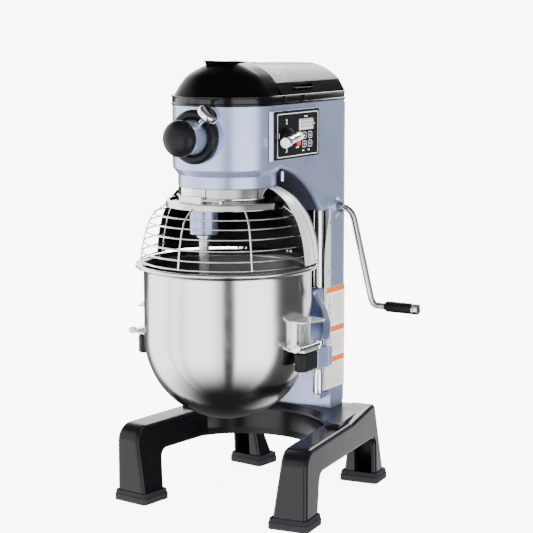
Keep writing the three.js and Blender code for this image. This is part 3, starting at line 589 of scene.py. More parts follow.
def mirrored(thing, name):
    return turned(new_object(name, thing.data.copy()), Matrix.Diagonal((-1, 1, 1, 1)))


def gathered(name, things):
    """Several loose solids in one object."""
    work = bmesh.new()
    for thing in things:
        work.from_mesh(thing.data)
        bpy.data.objects.remove(thing)
    mesh = bpy.data.meshes.new(name)
    work.to_mesh(mesh)
    work.free()
    return new_object(name, mesh)


def spot(x, y, z, degrees, axis):
    """A place, turned about one of its own axes."""
    return Matrix.Translation((x, y, z)) @ Matrix.Rotation(math.radians(degrees), 4, axis)


SIDES = (("right", 1), ("left", -1))
FORWARD = Matrix.Rotation(math.radians(90), 4, "X")  # +Z turns to -Y
SIDEWAYS = Matrix.Rotation(math.radians(90), 4, "Y")  # +Z turns to +X


def piece(thing, look, *nodes, body=None, slot=None, crease=34.0, flat=False):
    """Moves a shape to the frame and gives it its finish and body; slot is not used.

    It stands for the CAD nodes named, and takes its body from the first of them. flat evens the
    shading of large flat faces beside rounded edges. A shape that already has two or more finishes keeps them.
    """
    thing.data.transform(Matrix.Translation(AXIS) @ Matrix.Scale(MM, 4))
    thing.data.polygons.foreach_set("use_smooth", [True] * len(thing.data.polygons))
    thing.data.set_sharp_from_angle(angle=math.radians(crease))
    if flat:
        tool = thing.modifiers.new("shading", "WEIGHTED_NORMAL")
        tool.keep_sharp = True
        tool.weight = 80
        bake(thing)
    if len(thing.data.materials) < 2:
        thing.data.materials.clear()
        thing.data.materials.append(look)
    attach(thing, body or BODY_OF[nodes[0]])
    if nodes:
        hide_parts(*nodes)
    return thing


# ---------------------------------------------------------------- base and feet
def splayed(thing):
    """From a rail's own frame, outer face on X = 0, to its place on the right."""
    return turned(thing, Matrix.Translation((BASE_OUTER_X, 0, 0)) @ Matrix.Rotation(SPLAY, 4, "Z"))


def rail(name):
    foot = 8.3
    outline = rounded([(-72, foot), (-72, 152, 34), (163, 155, 90), (262, 168, 90), (289, 168, 12),
                       (343, foot), (291, foot), (286, 96, 18), (0, 95, 18), (-11, foot)], 0, 7)
    side = prism(name, outline, -72, 0, "X")
    slope = prism("slope", [(-90, -5), (-72, 8), (-54, 122), (-54, 200), (-90, 200)], -200, 500, "Y")
    return soften(cut(side, slope), 8.5, 5, 50)


def make_base():
    right = rail("base_rail")
    outline = [(-64, 0), (-64, 118), (-42, 139), (163, 143), (262, 156), (276, 156), (335, 0), (270, 0),
               (270, 86), (6, 86), (6, 0)]
    channel = prism("channel", outline, -46, -8, "X")
    right = splayed(cut(right, channel))
    left = mirrored(right, "base_rail_left")
    top = COLUMN_BOTTOM - 0.3
    deck = prism("deck", rounded([(-184, 112), (184, 112), (152, 284), (-152, 284)], 3), 96, top, "Z", 1.5)
    scoop = spun("scoop", [(0, 80), (155, 80), (160, 110, 30), (162, 150, 14), (176, 170), (0, 170)], 96)
    deck = cut(deck, moved(scoop, 0, 45), box("hollow", (-118, 226, 60), (118, 276, 152)))
    piece(join(right, left, deck), BLACK_CAST, "base_casting", flat=True)


def make_feet():
    for place, y0, y1 in (("front", -72, -9), ("rear", 290, 343)):
        def ring(grow, z):
            outline = rounded(rect(-72 - grow, grow, y0 - grow, y1 + grow), 3 + max(grow, 0), 5)
            return [(a, b, z) for a, b in outline]
        levels = [(4.6, 0), (5.5, 1), (5.5, 11.5), (5.0, 13), (3.8, 14), (3.4, 19.8), (2.6, 21), (0.5, 21),
                  (0.3, 20), (0.3, 8)]
        right = splayed(loft(f"foot_cap_{place}_right", [ring(*level) for level in levels]))
        left = mirrored(right, f"foot_cap_{place}_left")
        piece(right, RUBBER, f"foot_{place}_right")
        piece(left, RUBBER, f"foot_{place}_left")


# ---------------------------------------------------------------- housing
def head_plan(r, rear, z, corner=7.0, steps=48):
    """Plan of the head: round front, straight sides, rear corners rounded."""
    front = arc(0, 0, r, 180, 360, steps)
    right = arc(r - corner, rear - corner, corner, 0, 90, 5)
    left = arc(-r + corner, rear - corner, corner, 90, 180, 5)
    return [(a, b, z) for a, b in [*front, *right, *left]]


ARCH_Y, ARCH_Z, ARCH_R = -10.0, 430.0, 236.0


def arch_z(y):
    return ARCH_Z + math.sqrt(ARCH_R ** 2 - (y - ARCH_Y) ** 2)


def make_housing():
    plan = loft("housing", [head_plan(HEAD_R, HOUSING_REAR, z) for z in (COLUMN_BOTTOM - 10, HEAD_TOP)])
    arch = [(y, arch_z(y)) for y in (18, *range(28, 177, 6), 180)]
    side = [(-HEAD_R - 5, HEAD_TOP + 5), (-HEAD_R - 5, 668), (8, 667), *arch, (182.5, SKIRT_Z),
            (COLUMN_FRONT, SKIRT_Z), (COLUMN_FRONT, COLUMN_BOTTOM), (HOUSING_REAR + 5, COLUMN_BOTTOM),
            (HOUSING_REAR + 5, HEAD_TOP + 5)]
    body = common(plan, prism("side", side, -200, 200, "X"))
    work = bmesh.new()
    work.from_mesh(body.data)
    bmesh.ops.dissolve_limit(work, angle_limit=0.001, verts=work.verts, edges=work.edges)

    def on_side(edge):
        middle = (edge.verts[0].co + edge.verts[1].co) / 2
        along = (edge.verts[0].co - edge.verts[1].co).normalized()
        outer = abs(abs(middle.x) - HEAD_R) < 0.01
        return outer and 20 < middle.y < 182 and middle.z < 664.5 and abs(along.x) < 0.1

    bmesh.ops.bevel(work, geom=[e for e in work.edges if on_side(e)], offset=9.0, segments=6, profile=0.5,
                    affect="EDGES", clamp_overlap=False)
    work.to_mesh(body.data)
    work.free()
    lower = rounded([(0, 675), (HEAD_R - 0.04, 675), (HEAD_R - 0.04, 664, 9), (98.0, 657.5, 7), (93, 651, 2),
                     (93, 629.3, 1.2), (87, 629.3, 0.8), (87, 666), (0, 666)], 0, 6)
    opening = rect(-94, 94, 330, 566)
    boss = spun("boss", [(0, 90), (24, 90), (24, 103.4, 1), (17.4, 105.4, 2), (13.4, 111.4, 1.5), (0, 111.4)],
                64)
    boss = cut(moved(turned(boss, SIDEWAYS), 0, CRANK.y, CRANK.z),
               box("clear", (85, 150, 500), (125, COLUMN_FRONT, SKIRT_Z)))
    hub_boss = spun("hub_boss", [(0, 70), (50, 70), (50, 105, 1), (0, 105)], 96)
    hub_boss = turned(hub_boss, Matrix.Translation((0, 0, HUB_Z)) @ FORWARD)
    foot = [box(f"rod_foot_{x}", (x - 8, ROD_Y - 6, 186), (x + 8, COLUMN_FRONT + 4, 196.5), 2)
            for x in (-ROD_X, ROD_X)]
    body = join(body, lathe("lower", lower, 144), boss, hub_boss, *foot)
    body = cut(body, prism("opening", opening, COLUMN_FRONT - 8, 266, "Y"),
               box("lug_slot", (-25, COLUMN_FRONT - 8, 215), (25, 262, 400), 3),
               turned(cylinder("hub_bore", 31.3, 80, 120, 64), Matrix.Translation((0, 0, HUB_Z)) @ FORWARD),
               turned(cylinder("shaft_hole", 8.6, 80, 140, 32),
                      Matrix.Translation((0, CRANK.y, CRANK.z)) @ SIDEWAYS))
    for look in (PAINT, PAINT_SHADE, SHADE_AND_SEAM_BLACK):
        body.data.materials.append(look)
    # The arch's concave underside takes the darker paint copy and the inside of the column opening the near-black
    # one: both are painted shade.
    for face in body.data.polygons:
        x, y, z = face.center
        off_arch = abs(math.hypot(y - ARCH_Y, z - ARCH_Z) - ARCH_R)
        under_arch = off_arch < 1.5 and 20 < y < 182 and abs(x) < HEAD_R - 8
        in_column = abs(x) < 94.3 and COLUMN_FRONT + 0.5 < y < 266.5 and 210 < z < SKIRT_Z
        face.material_index = 2 if in_column else int(under_arch)
    piece(body, PAINT, "main_housing", flat=True)
    stop_pin = spun("guard_stop", [(0, 637), (3, 637, 0.8), (3, 656), (0, 656)], 24)
    piece(moved(stop_pin, 96, 42), CHROME, body="frame", slot="chrome", crease=40)


def make_rear_cover():
    low, high = span("rear_cover")
    outline = rounded(rect(low.x, high.x, low.z, high.z), 7)
    plate = prism("rear_plate", outline, low.y, high.y, "Y", 0.8, 2)
    vents = [prism("vent", rounded(rect(x - 22, x + 22, z, z + 5), 2.4), low.y - 3, high.y + 3, "Y")
             for x in (-32, 32) for z in range(690, 751, 12)]
    plate = cut(plate, gathered("vents", vents))
    piece(plate, PAINT, "rear_cover", flat=True)
    screws = []
    for x in (low.x + 9, high.x - 9):
        for z in (low.z + 12, (low.z + high.z) / 2, high.z - 12):
            head = spun("screw", [(0, 0), (3.4, 0), (3.4, 0.35, 0.2), (1.2, 0.4), (1.0, 0.15), (0, 0.1)], 24)
            screws.append(turned(head, spot(x, high.y - 0.2, z, -90, "X")))
    piece(gathered("rear_cover_screws", screws), MACHINED, body="frame", slot="machined_steel")


# ---------------------------------------------------------------- top cover
ROOF_FRONT = [(0, 862), (24, 859.6), (37.5, 855.3), (54.5, 847.4), (69, 839), (78.6, 830.5), (89.5, 816),
              (97, 803), (100, 797)]
ROOF_SHOULDER = [(0, 862), (24, 860.3), (41, 855.3), (59, 847.4), (73, 838), (82, 829), (91, 816), (97, 803),
                 (100, 797)]
RIDGE_X, RIDGE_Z = 29.0, 858.5
CREASE_X, CREASE_Z = 87.0, 823.0
ROOF_FALL = 6.0
ROOF_BREAK_Y = 32.0
SCREW_YZ = [(span(f"cover_screw_right_{i}")[0] + span(f"cover_screw_right_{i}")[1]) / 2 for i in (1, 2)]


def make_top_cover():
    under = 796.0
    front_line = [*smooth_line(ROOF_FRONT, 5)[:-1], (100.2, under)]
    back_line = [*smooth_line(ROOF_SHOULDER, 5)[:-1], (100.2, under)]
    dome = lathe("roof", [*front_line, (0, under)], 144)
    dome = common(dome, box("front", (-150, -150, 700), (150, 0.4, 900)))
    shoulder = loft("shoulder", [[(a, y, b) for a, b in mirror_line(line)] for y, line in
                                 ((0, front_line), (ROOF_BREAK_Y, back_line))])

    def section(y, drop):
        slope = smooth_line([(RIDGE_X - 5, RIDGE_Z + 0.6), (RIDGE_X, RIDGE_Z), (44, 853.9), (58.4, 847.6),
                             (73, 837), (CREASE_X, CREASE_Z)], 3)
        lowered = [(a, b - drop * max(b - CREASE_Z, 0) / (RIDGE_Z - CREASE_Z)) for a, b in slope]
        half = [(0, lowered[0][1] + 0.3), *lowered, (CREASE_X + 1.4, CREASE_Z - 2), (100.2, 801),
                (100.2, under)]
        return [(a, y, b) for a, b in mirror_line(half)]

    rear = HOUSING_REAR - 1
    straight = loft("straight", [section(ROOF_BREAK_Y - 0.5, 0.4), section(rear - 4, ROOF_FALL),
                                 section(rear, ROOF_FALL + 2)])
    levels = [(-1, HEAD_TOP + 0.3), (1.2, HEAD_TOP + 0.3), (2.0, HEAD_TOP + 1.2), (2.0, HEAD_TOP + 3.6),
              (1.3, HEAD_TOP + 4.6), (0.7, HEAD_TOP + 5.4), (0.7, BAND_TOP - 4), (1.3, BAND_TOP - 2.8),
              (1.9, BAND_TOP - 2.0), (1.9, BAND_TOP - 0.6), (1.2, BAND_TOP)]
    band = loft("band", [head_plan(HEAD_R + grow, HOUSING_REAR + grow, z, 8) for grow, z in levels])
    roof = join(dome, shoulder, straight)
    hoods = []
    for side in (-1, 1):
        line = rounded([(84, 824), (92.6, 814.8, 0.5), (97.4, 814.4, 1.2), (98.4, 808.6, 1.2),
                        (96.4, 806.6, 0.6), (84, 809)], 0, 3)
        hoods.append(prism("hood", [(side * a, b) for a, b in line], 83, 160, "Y", 1.2))
    roof = join(roof, *hoods)
    slots = [side_box("slot", s, (90, 86, 807.6), (98.2, 157, 811.0), 0.8) for s in (-1, 1)]
    roof = cut(roof, *slots)
    roof.data.materials.append(COVER)
    roof.data.materials.append(COVER_GRAIN_SHEEN)
    roof.data.materials.append(SHADE_AND_SEAM_BLACK)
    # Slope faces take the lighter flecked cover copy, a painted sheen, and the slot floors under the hoods the
    # near-black one, painted shade.
    for face in roof.data.polygons:
        x, y, z = face.center
        inclined = 0.2 < face.normal.z < 0.95 and abs(face.normal.x) > 0.3
        slope = y > ROOF_BREAK_Y + 1 and inclined and z > CREASE_Z - 2
        slot = 81 < y < 156 and 808 < z < 811.6 and abs(x) < 98 and abs(face.normal.z) > 0.9
        face.material_index = 1 if slope else 2 if slot else 0
    piece(roof, COVER, "top_cover", crease=24, flat=True)
    piece(band, COVER_BAND, body="frame", slot="cover_black", crease=30)
    lip = [(-36, 861), (-36, 862.3), (-35, 863.1), (60, 858.5), (60, 850), (-29, 850), (-31, 858)]
    piece(prism("top_lip", lip, -28, 28, "X", 0.4, 2), COVER, body="frame", slot="cover_black", flat=True)


def make_cover_screws():
    for side, s in SIDES:
        for i, middle in enumerate(SCREW_YZ):
            head = spun(f"band_screw_{side}_{i + 1}", [(0, -1), (4.4, -1), (4.4, 1.3, 1), (1.9, 2.5, 0.3),
                                                       (1.6, 1.0), (0, 1.0)], 32, 4)
            turned(head, spot(s * (HEAD_R + 1.4), middle.y, middle.z, s * 90, "Y"))
            piece(head, PLASTIC, f"cover_screw_{side}_{i + 1}")


# ---------------------------------------------------------------- slideway
def make_slideway():
    low, high = span("guide_rod_right")
    front_edge = smooth_line([(195.5, 455), (198, 490), (204, 520), (212, 548), (213, 566)], 5)
    strip_line = [(195.5, 204), *front_edge, (220.6, 566), (220.6, 204)]
    for side, s in SIDES:
        bar = spun(f"slide_rod_{side}", [(0, low.z), (10, low.z, 1), (10, high.z, 1), (0, high.z)], 64)
        piece(moved(bar, s * ROD_X, ROD_Y), CHROME, f"guide_rod_{side}")
        edge = sorted((s * 101.6, s * 102.8))
        sheet = prism(f"slide_strip_{side}", strip_line, *edge, "X", 0.25, 2)
        fold = sorted((s * 91, s * 102.6))
        flange = box("flange", (fold[0], 219.2, 204), (fold[1], 220.6, 566), 0.3)
        piece(gathered(f"slide_strip_{side}", [sheet, flange]), STRIP, f"slideway_strip_{side}", flat=True)
        heads = []
        for z in (250, 442, 540):
            head = spun("head", [(0, 0), (3.4, 0), (3.2, 1.1, 0.8), (1.3, 1.7, 0.2), (1.1, 0.7), (0, 0.7)],
                        24)
            heads.append(turned(head, spot(s * 102.7, 211 if z < 500 else 216, z, s * 90, "Y")))
        piece(gathered(f"slide_screws_{side}", heads), CHROME, body="frame", slot="chrome")


# ---------------------------------------------------------------- control panel
PRINT_RISE = 0.12


def flat_on_side(name, outline, x0, x1, edge=0.0):
    """A thin shape on the right side, its outline as (y, z)."""
    return prism(name, outline, x0, x1, "X", edge, 2)


def frame_line(name, y0, y1, z0, z1, x, width, corner):
    """A thin printed line round a rectangle."""
    outer = flat_on_side(name, rounded(rect(y0, y1, z0, z1), corner), x, x + PRINT_RISE)
    inner = flat_on_side("inner", rounded(rect(y0 + width, y1 - width, z0 + width, z1 - width),
                                          max(corner - width, 0.2)), x - 1, x + 1)
    return cut(outer, inner)


def numeral(name, text, y, z, x, size):
    """A raised dial number on the right side."""
    curve = bpy.data.curves.new(name, "FONT")
    curve.body = text
    curve.size = size
    curve.extrude = 0.06
    curve.offset = 0.12
    curve.align_x = "CENTER"
    curve.align_y = "CENTER"
    source = new_object(name + "_curve", curve)
    shown = source.evaluated_get(bpy.context.evaluated_depsgraph_get())
    mesh = bpy.data.meshes.new_from_object(shown)
    bpy.data.objects.remove(source)
    face = Matrix(((0, 0, 1, x + 0.06), (1, 0, 0, y), (0, 1, 0, z), (0, 0, 0, 1)))
    return turned(new_object(name, mesh), face)


def make_panel():
    low, high = span("control_bezel")
    outline = rounded([(low.x, low.y), (low.x, high.y), (high.x, high.y, 1.5), (high.x, low.y + 7, 5)], 0, 4)
    bezel = prism("panel_bezel", outline, low.z, high.z, "Z", 1.2, 3)
    piece(bezel, PAINT, "control_bezel", flat=True)
    y0, y1, z0, z1 = PANEL_LOW.y, PANEL_HIGH.y, PANEL_LOW.z, PANEL_HIGH.z
    face = PANEL_HIGH.x
    plate = flat_on_side("panel_plate", rounded(rect(y0, y1, z0, z1), 5), PANEL_LOW.x, face, 0.6)
    key_nodes = ("timer_up_key", "start_key", "timer_down_key", "mode_key")
    holes = []
    for node in key_nodes:
        a, b = span(node)
        outline = rounded(rect(a.y - 0.3, b.y + 0.3, a.z - 0.3, b.z + 0.3), 2.5)
        holes.append(flat_on_side("hole", outline, 100, 130))
    stop_low, stop_high = span("stop_button")
    stop = (stop_low + stop_high) / 2
    stop_r = (stop_high.y - stop_low.y) / 2
    holes.append(turned(cylinder("hole", stop_r + 0.3, 95, 130, 32),
                        Matrix.Translation((0, stop.y, stop.z)) @ SIDEWAYS))
    plate = cut(plate, gathered("holes", holes))
    piece(plate, PANEL_BLACK, "control_panel", flat=True)
    prints = [frame_line("panel_line", y0 + 9, y1 - 4.5, z0 + 4, z1 - 4.5, face, 1.4, 3)]
    for text, y, z in (("1", 5.5, 724.2), ("2", 31.8, 749.7), ("3", 31.4, 696.6)):
        prints.append(numeral("number", text, y, z, face, 13))
    for node in key_nodes:
        a, b = span(node)
        prints.append(frame_line("key_line", a.y + 0.9, b.y - 0.9, a.z + 0.9, b.z - 0.9, b.x, 0.9, 3.2))
        key = flat_on_side(node + "_cap", rounded(rect(a.y, b.y, a.z, b.z), 2.4), a.x, b.x, 0.5)
        y, z = (a.y + b.y) / 2, (a.z + b.z) / 2
        tip = 2.4 if node in ("timer_up_key", "start_key") else -2.4
        arrow = [(y - 2.6, z - tip * 0.7), (y + 2.6, z - tip * 0.7), (y, z + tip)]
        mark = flat_on_side("mark", arrow, b.x, b.x + PRINT_RISE)
        line = prints.pop()
        piece(key, PANEL_BLACK, node, flat=True)
        piece(gathered(node + "_print", [mark, line]), PRINT_WHITE, body=BODY_OF[node], slot="label")
    for y, z, width in ((103.8, 757.2, 12), (72.4, 700.1, 11), (94.2, 692.7, 7), (114.9, 693.0, 7),
                        (137, 742, 2.4)):
        dash = rect(y - width / 2, y + width / 2, z - 1.1, z + 1.1)
        prints.append(flat_on_side("dash", dash, face, face + PRINT_RISE))
    piece(gathered("panel_print", prints), PRINT_WHITE, body="frame", slot="label")
    a, b = span("display_window")
    window = flat_on_side("display_glass", rounded(rect(a.y, b.y, a.z, b.z), 2), a.x, b.x, 0.3)
    piece(window, DISPLAY, "display_window", flat=True)
    cells = []
    for row in range(3):
        for column in range(7):
            y, z = a.y + 6 + column * 6.9, a.z + 5 + row * 6
            cells.append(flat_on_side("cell", rounded(rect(y, y + 5.2, z, z + 4), 0.6), b.x, b.x + 0.05))
    piece(gathered("display_cells", cells), PRINT_GREY, body="frame", slot="display")
    dome = rounded([(0, 0), (stop_r, 0), (stop_r, stop_high.x - stop_low.x, 1.4),
                    (0, stop_high.x - stop_low.x + 0.01)], 0)
    button = turned(lathe("stop_cap", dome, 48), Matrix.Translation((stop_low.x, stop.y, stop.z)) @ SIDEWAYS)
    piece(button, RED, "stop_button")


def make_selector():
    """Black dish with a bright bar handle that widens towards its front end, with a cap on each end."""
    place = Matrix.Translation((PANEL_HIGH.x, SELECTOR.y, SELECTOR.z))
    dish = spun("selector_dish", [(0, -1.5), (7.6, -1.5), (7.6, 0.8), (18, 0.8, 0.8), (15.5, 9, 3),
                                  (9, 10.3, 2), (0, 10.3)], 64)
    piece(turned(dish, place @ SIDEWAYS), PLASTIC, body="selector", slot="black_plastic")
    rear, front = Vector((12.7, 28.2, 1.4)), Vector((18.7, -38.3, -8.2))
    ahead = (front - rear).normalized()
    along = place @ Matrix.Translation(rear) @ ahead.to_track_quat("Z", "X").to_matrix().to_4x4()
    bar = spun("selector_lever", [(0, 3), (8.2, 3, 1), (8.2, 40, 20), (10.1, 54, 8), (10.1, 64.4, 1),
                                  (0, 64.4)], 48)
    piece(turned(bar, along), CHROME, "speed_selector", crease=40)
    near = spun("near_cap", [(0, 64.5), (9.8, 64.5, 0.4), (9.2, 67.6, 1.6), (5, 68.5, 4), (0, 68.5)], 48, 4)
    far = spun("far_cap", [(0, 0), (6, 0.2, 2), (8.2, 1.4, 1), (8.4, 12, 0.4), (0, 12)], 40, 4)
    piece(turned(near, along), WHITE, body="selector", slot="label", crease=40)
    piece(turned(far, along), IVORY, body="selector", slot="label", crease=40)


# ---------------------------------------------------------------- instruction plate
def make_plate():
    low, high = span("instruction_plate")
    sheet = flat_on_side("guide_label", rounded(rect(low.y, high.y, low.z, high.z), 2), low.x, high.x, 0.2)
    piece(sheet, LABEL, "instruction_plate", flat=True)
    x = high.x

    def bar(y0, y1, z0, z1):
        return flat_on_side("bar", rect(y0, y1, z0, z1), x, x + 0.08)

    tops = (high.z, 331.0, 269.0)
    bands = [bar(low.y + 1.4, high.y - 1.4, top - 10.2, top - 1.6) for top in tops]
    edges = [bar(low.y + 0.6, high.y - 0.6, z - 0.8, z) for top in tops for z in (top - 10.2, top - 0.8)]
    piece(gathered("label_bands", bands), PRINT_ORANGE, body="frame", slot="label")
    piece(gathered("label_edges", edges), PANEL_BLACK, body="frame", slot="label")
    rows = []
    for top, bottom in zip(tops, (tops[1], tops[2], low.z)):
        z = top - 19
        index = 0
        while z > bottom + 7:
            indent = 26 if top == high.z and z > bottom + 24 else 5
            rows.append(bar(low.y + indent, high.y - 6 - (index * 7) % 13, z, z + 0.9))
            z -= 4.2
            index += 1
    outline = [(low.y + 14 + 7 * math.cos(a) * (1 if k % 2 else 0.94), high.z - 44 + 13 * math.sin(a))
               for k, a in enumerate([2 * math.pi * k / 28 for k in range(28)])]
    inner = [(y * 0.62 + (low.y + 14) * 0.38, z * 0.62 + (high.z - 44) * 0.38) for y, z in outline]
    rows.append(cut(flat_on_side("icon", outline, x, x + 0.08),
                    flat_on_side("icon_hole", inner, x - 1, x + 1)))
    rows.append(bar(low.y + 12.8, low.y + 15.2, high.z - 32, high.z - 18))
    piece(gathered("label_lines", rows), PRINT_GREY, body="frame", slot="label")


# ---------------------------------------------------------------- attachment hub
def make_hub():
    place = Matrix.Translation((0, 0, HUB_Z)) @ FORWARD
    ring = spun("hub_collar", [(31.4, 105.3), (50.2, 105.3, 0.5), (50.2, 117.4, 4.2), (45, 122, 3.5),
                               (37, 122, 2.5), (35, 116, 2), (31.4, 115.4, 0.5)], 128)
    piece(turned(ring, place), RING_BLACK, "hub_ring", crease=40)
    barrel = spun("hub_tube", [(24, 92), (31, 92), (31, 156, 1), (24, 156, 1)], 96)
    screw_place = Matrix.Translation((0, local(JOINTS["hub_screw_turn"]["pos_m"]).y, HUB_Z))
    tilt = Vector(JOINTS["hub_screw_turn"]["axis"]).to_track_quat("Z", "Y").to_matrix().to_4x4()
    boss = turned(spun("boss", [(0, 27), (8, 27), (7, 33.5, 1), (0, 33.5)], 40), screw_place @ tilt)
    hole = turned(cylinder("hole", 4.2, 10, 44, 32), screw_place @ tilt)
    bore = turned(cylinder("bore", 24, 90, 160, 96), place)
    piece(cut(join(turned(barrel, place), boss), bore, hole), PAINT, "hub_barrel", crease=40)
    dome = [(0, 181.5), *[(34 * math.sin(a), 160 + 21.5 * math.cos(a)) for a in
                          [math.radians(90) * k / 18 for k in range(1, 19)]]]
    cap = lathe("hub_plug_cap", [*dome, (34, 157.2), (33.4, 156.4), (23, 156.4), (23, 148), (0, 148)], 96)
    piece(turned(cap, place), PLASTIC, "hub_cap", crease=40)
    thread = [(3.9 if k % 2 else 3.4, 22 + 0.7 * k) for k in range(14)]
    neck = smooth_line([(3.9, 35.5), (4.6, 38.6), (6.2, 45), (10.6, 50), (16.6, 53.6), (20, 56),
                        (20.5, 58.6)], 5)
    top = rounded([(20.5, 63.6), (19.4, 66, 1.4), (15, 67.6, 3), (0, 67.9)], 0)
    screw = lathe("hub_screw_knob", [(0, 20), (3.3, 20), *thread, (3.9, 33), *neck, *top[:-1], (0, 67.9)], 72)
    piece(turned(screw, screw_place @ tilt), CHROME, "hub_thumb_screw", crease=40)


# ---------------------------------------------------------------- guards
REAR_GUARD = [(94, 628.5), (107, 623), (129, 607), (143.5, 589), (155.6, 570), (164, 548), (169.5, 528),
              (172.5, 508), (174.5, 487)]
CAGE_RINGS = [(139, 577.4), (148.6, 561.3), (154.5, 543.2), (159.4, 523.3), (162.5, 504.2), (164.6, 487.5)]
CAGE_FROM, CAGE_TO = -188.5, 7.5
WIRE_R = 1.55


def thick_line(points, thickness):
    """A closed outline round a line: the line itself, and the line moved inward."""
    inner = []
    for i, point in enumerate(points):
        along = Vector(points[min(i + 1, len(points) - 1)]) - Vector(points[max(i - 1, 0)])
        along.normalize()
        inner.append((point[0] + along.y * thickness, point[1] - along.x * thickness))
    return [*points, *reversed(inner)]


def on_circle(r, angle, z):
    a = math.radians(angle)
    return Vector((r * math.cos(a), r * math.sin(a), z))


def make_guards():
    ring = spun("guard_collar", [(88.5, 597, 0.4), (110, 597, 0.8), (110, 599.5, 0.8), (92.5, 599.8, 0.8),
                                 (92.5, 608.4, 0.6), (95.6, 609, 0.8), (95.6, 612, 0.8), (92.5, 612.6, 0.6),
                                 (92.5, 629, 0.6), (88.5, 629, 0.6)], 144, 3)
    piece(ring, POLISHED, "guard_ring", crease=40)
    seams = []
    for angle in (-128, -83, -20, 40, 130, 200):
        a, b = on_circle(92.9, angle, 613.5), on_circle(92.9, angle, 627.5)
        seams.append(sweep("seam", [a, a.lerp(b, 0.5), b], 0.9, 10, True))
    piece(gathered("collar_seams", seams), SHADE_AND_SEAM_BLACK, body="frame", slot="black_plastic")
    line = smooth_line(REAR_GUARD, 5)
    # The rear shield is in the dark steel copy: painted shade.
    piece(lathe("rear_shield", thick_line(line, 1.6), 110, -1.6, 175.0), STEEL_SHADE, "rear_guard", crease=50)
    proud = [(r + 1.5 * (1 - 0.5 * k / len(line)), z + 0.7) for k, (r, z) in enumerate(line)]
    strips = [lathe("fold", thick_line(proud, 1.2), 12, -2.0, 9.9),
              lathe("fold", thick_line(proud, 1.2), 10, 11.3, 19.0)]
    piece(gathered("shield_folds", strips), STRIP, body="frame", slot="stainless", crease=50)
    lug = lathe("lug", [(0, 0), *[(4.2 * math.sin(a), 4.2 - 4.2 * math.cos(a)) for a in
                                  [math.radians(18) * k for k in range(1, 10)]], (0, 8.4)], 32)
    piece(moved(lug, 168.5, 50, 484.2), CHROME, body="frame", slot="chrome")

    wires = []
    for r, z in CAGE_RINGS:
        steps = 88
        path = [on_circle(r, CAGE_FROM + (CAGE_TO - CAGE_FROM) * k / steps, z) for k in range(steps + 1)]
        wires.append(sweep("wire", path, WIRE_R, 10, True))
    spine = smooth_line([(116.5, 594), *CAGE_RINGS], 5)
    for i in range(5):
        angle = CAGE_FROM + 1 + (CAGE_TO - CAGE_FROM - 2) * i / 4
        wires.append(sweep("wire", [on_circle(r + 1.5, angle, z) for r, z in spine], WIRE_R, 10, True))
    piece(gathered("cage_wires", wires), WIRE, "wire_guard")
    band = lathe("cage_band", rounded([(115.6, 590.6, 1.2), (118.4, 590.9, 1.2), (115.4, 602.6, 2.5),
                                       (109.8, 603.4, 0.8), (109.8, 600.8, 0.6), (112.8, 600.4, 1)], 0, 4),
                 90, CAGE_FROM, CAGE_TO)
    piece(band, POLISHED, body="guard", slot="chrome", crease=50)
    catch = box("catch", (-27, -4.2, -7.5), (27, 4.2, 7.5), 1.4)
    turned(catch, spot(*on_circle(101.5, -99, 608.5), -9, "Z"))
    pin = sweep("pin", [on_circle(101.5, angle, 609) for angle in range(-84, -65, 3)], 1.9, 14, True)
    clip = box("clip", (-2.4, -4, -8), (2.4, 4, 4), 1)
    turned(clip, spot(*on_circle(101.5, -64.5, 607), 25, "Z"))
    piece(gathered("cage_catch", [catch, pin, clip]), STEEL_FLAT, body="guard", slot="stainless", flat=True)


# ---------------------------------------------------------------- planetary drive
def at_agitator(thing):
    return moved(thing, AGITATOR.x, AGITATOR.y)


def make_planetary():
    disc = spun("carrier", [(0, 611), (84, 611, 2), (84, 624, 1), (60, 628.4, 4), (0, 628.4)], 96)
    boss = at_agitator(spun("boss", [(0, 534), (27, 534, 3), (27, 618), (0, 618)], 72))
    rib = spun("rib", [(0, 590), (18, 590, 3), (18, 618), (0, 618)], 56)
    rib = moved(rib, AGITATOR.x * 0.35, AGITATOR.y * 0.35)
    hole = at_agitator(cylinder("hole", 10, 500, 640, 48))
    piece(cut(join(disc, boss, rib), hole), PAINT, "planetary_carrier", crease=40)
    shaft = spun("tool_shaft", [(0, 400), (9.5, 400, 1), (9.5, 648, 0.5), (0, 648)], 56)
    collar = spun("collar", [(9.4, 528), (13, 528, 1), (13, 533.6, 0.8), (9.4, 533.6)], 56)
    piece(at_agitator(gathered("tool_shaft", [shaft, collar])), STEEL_FLAT, "agitator_shaft", crease=40)
    stud = prism("stud", polygon(8, 6, 20), 592, 611, "Z", 1.2)
    tip = spun("tip", [(0, 586), (4.6, 586, 1), (4.6, 596), (0, 596)], 32)
    piece(moved(gathered("stud", [stud, tip]), 34, 6), CHROME, body="planetary", slot="chrome", flat=True)
    make_beater()


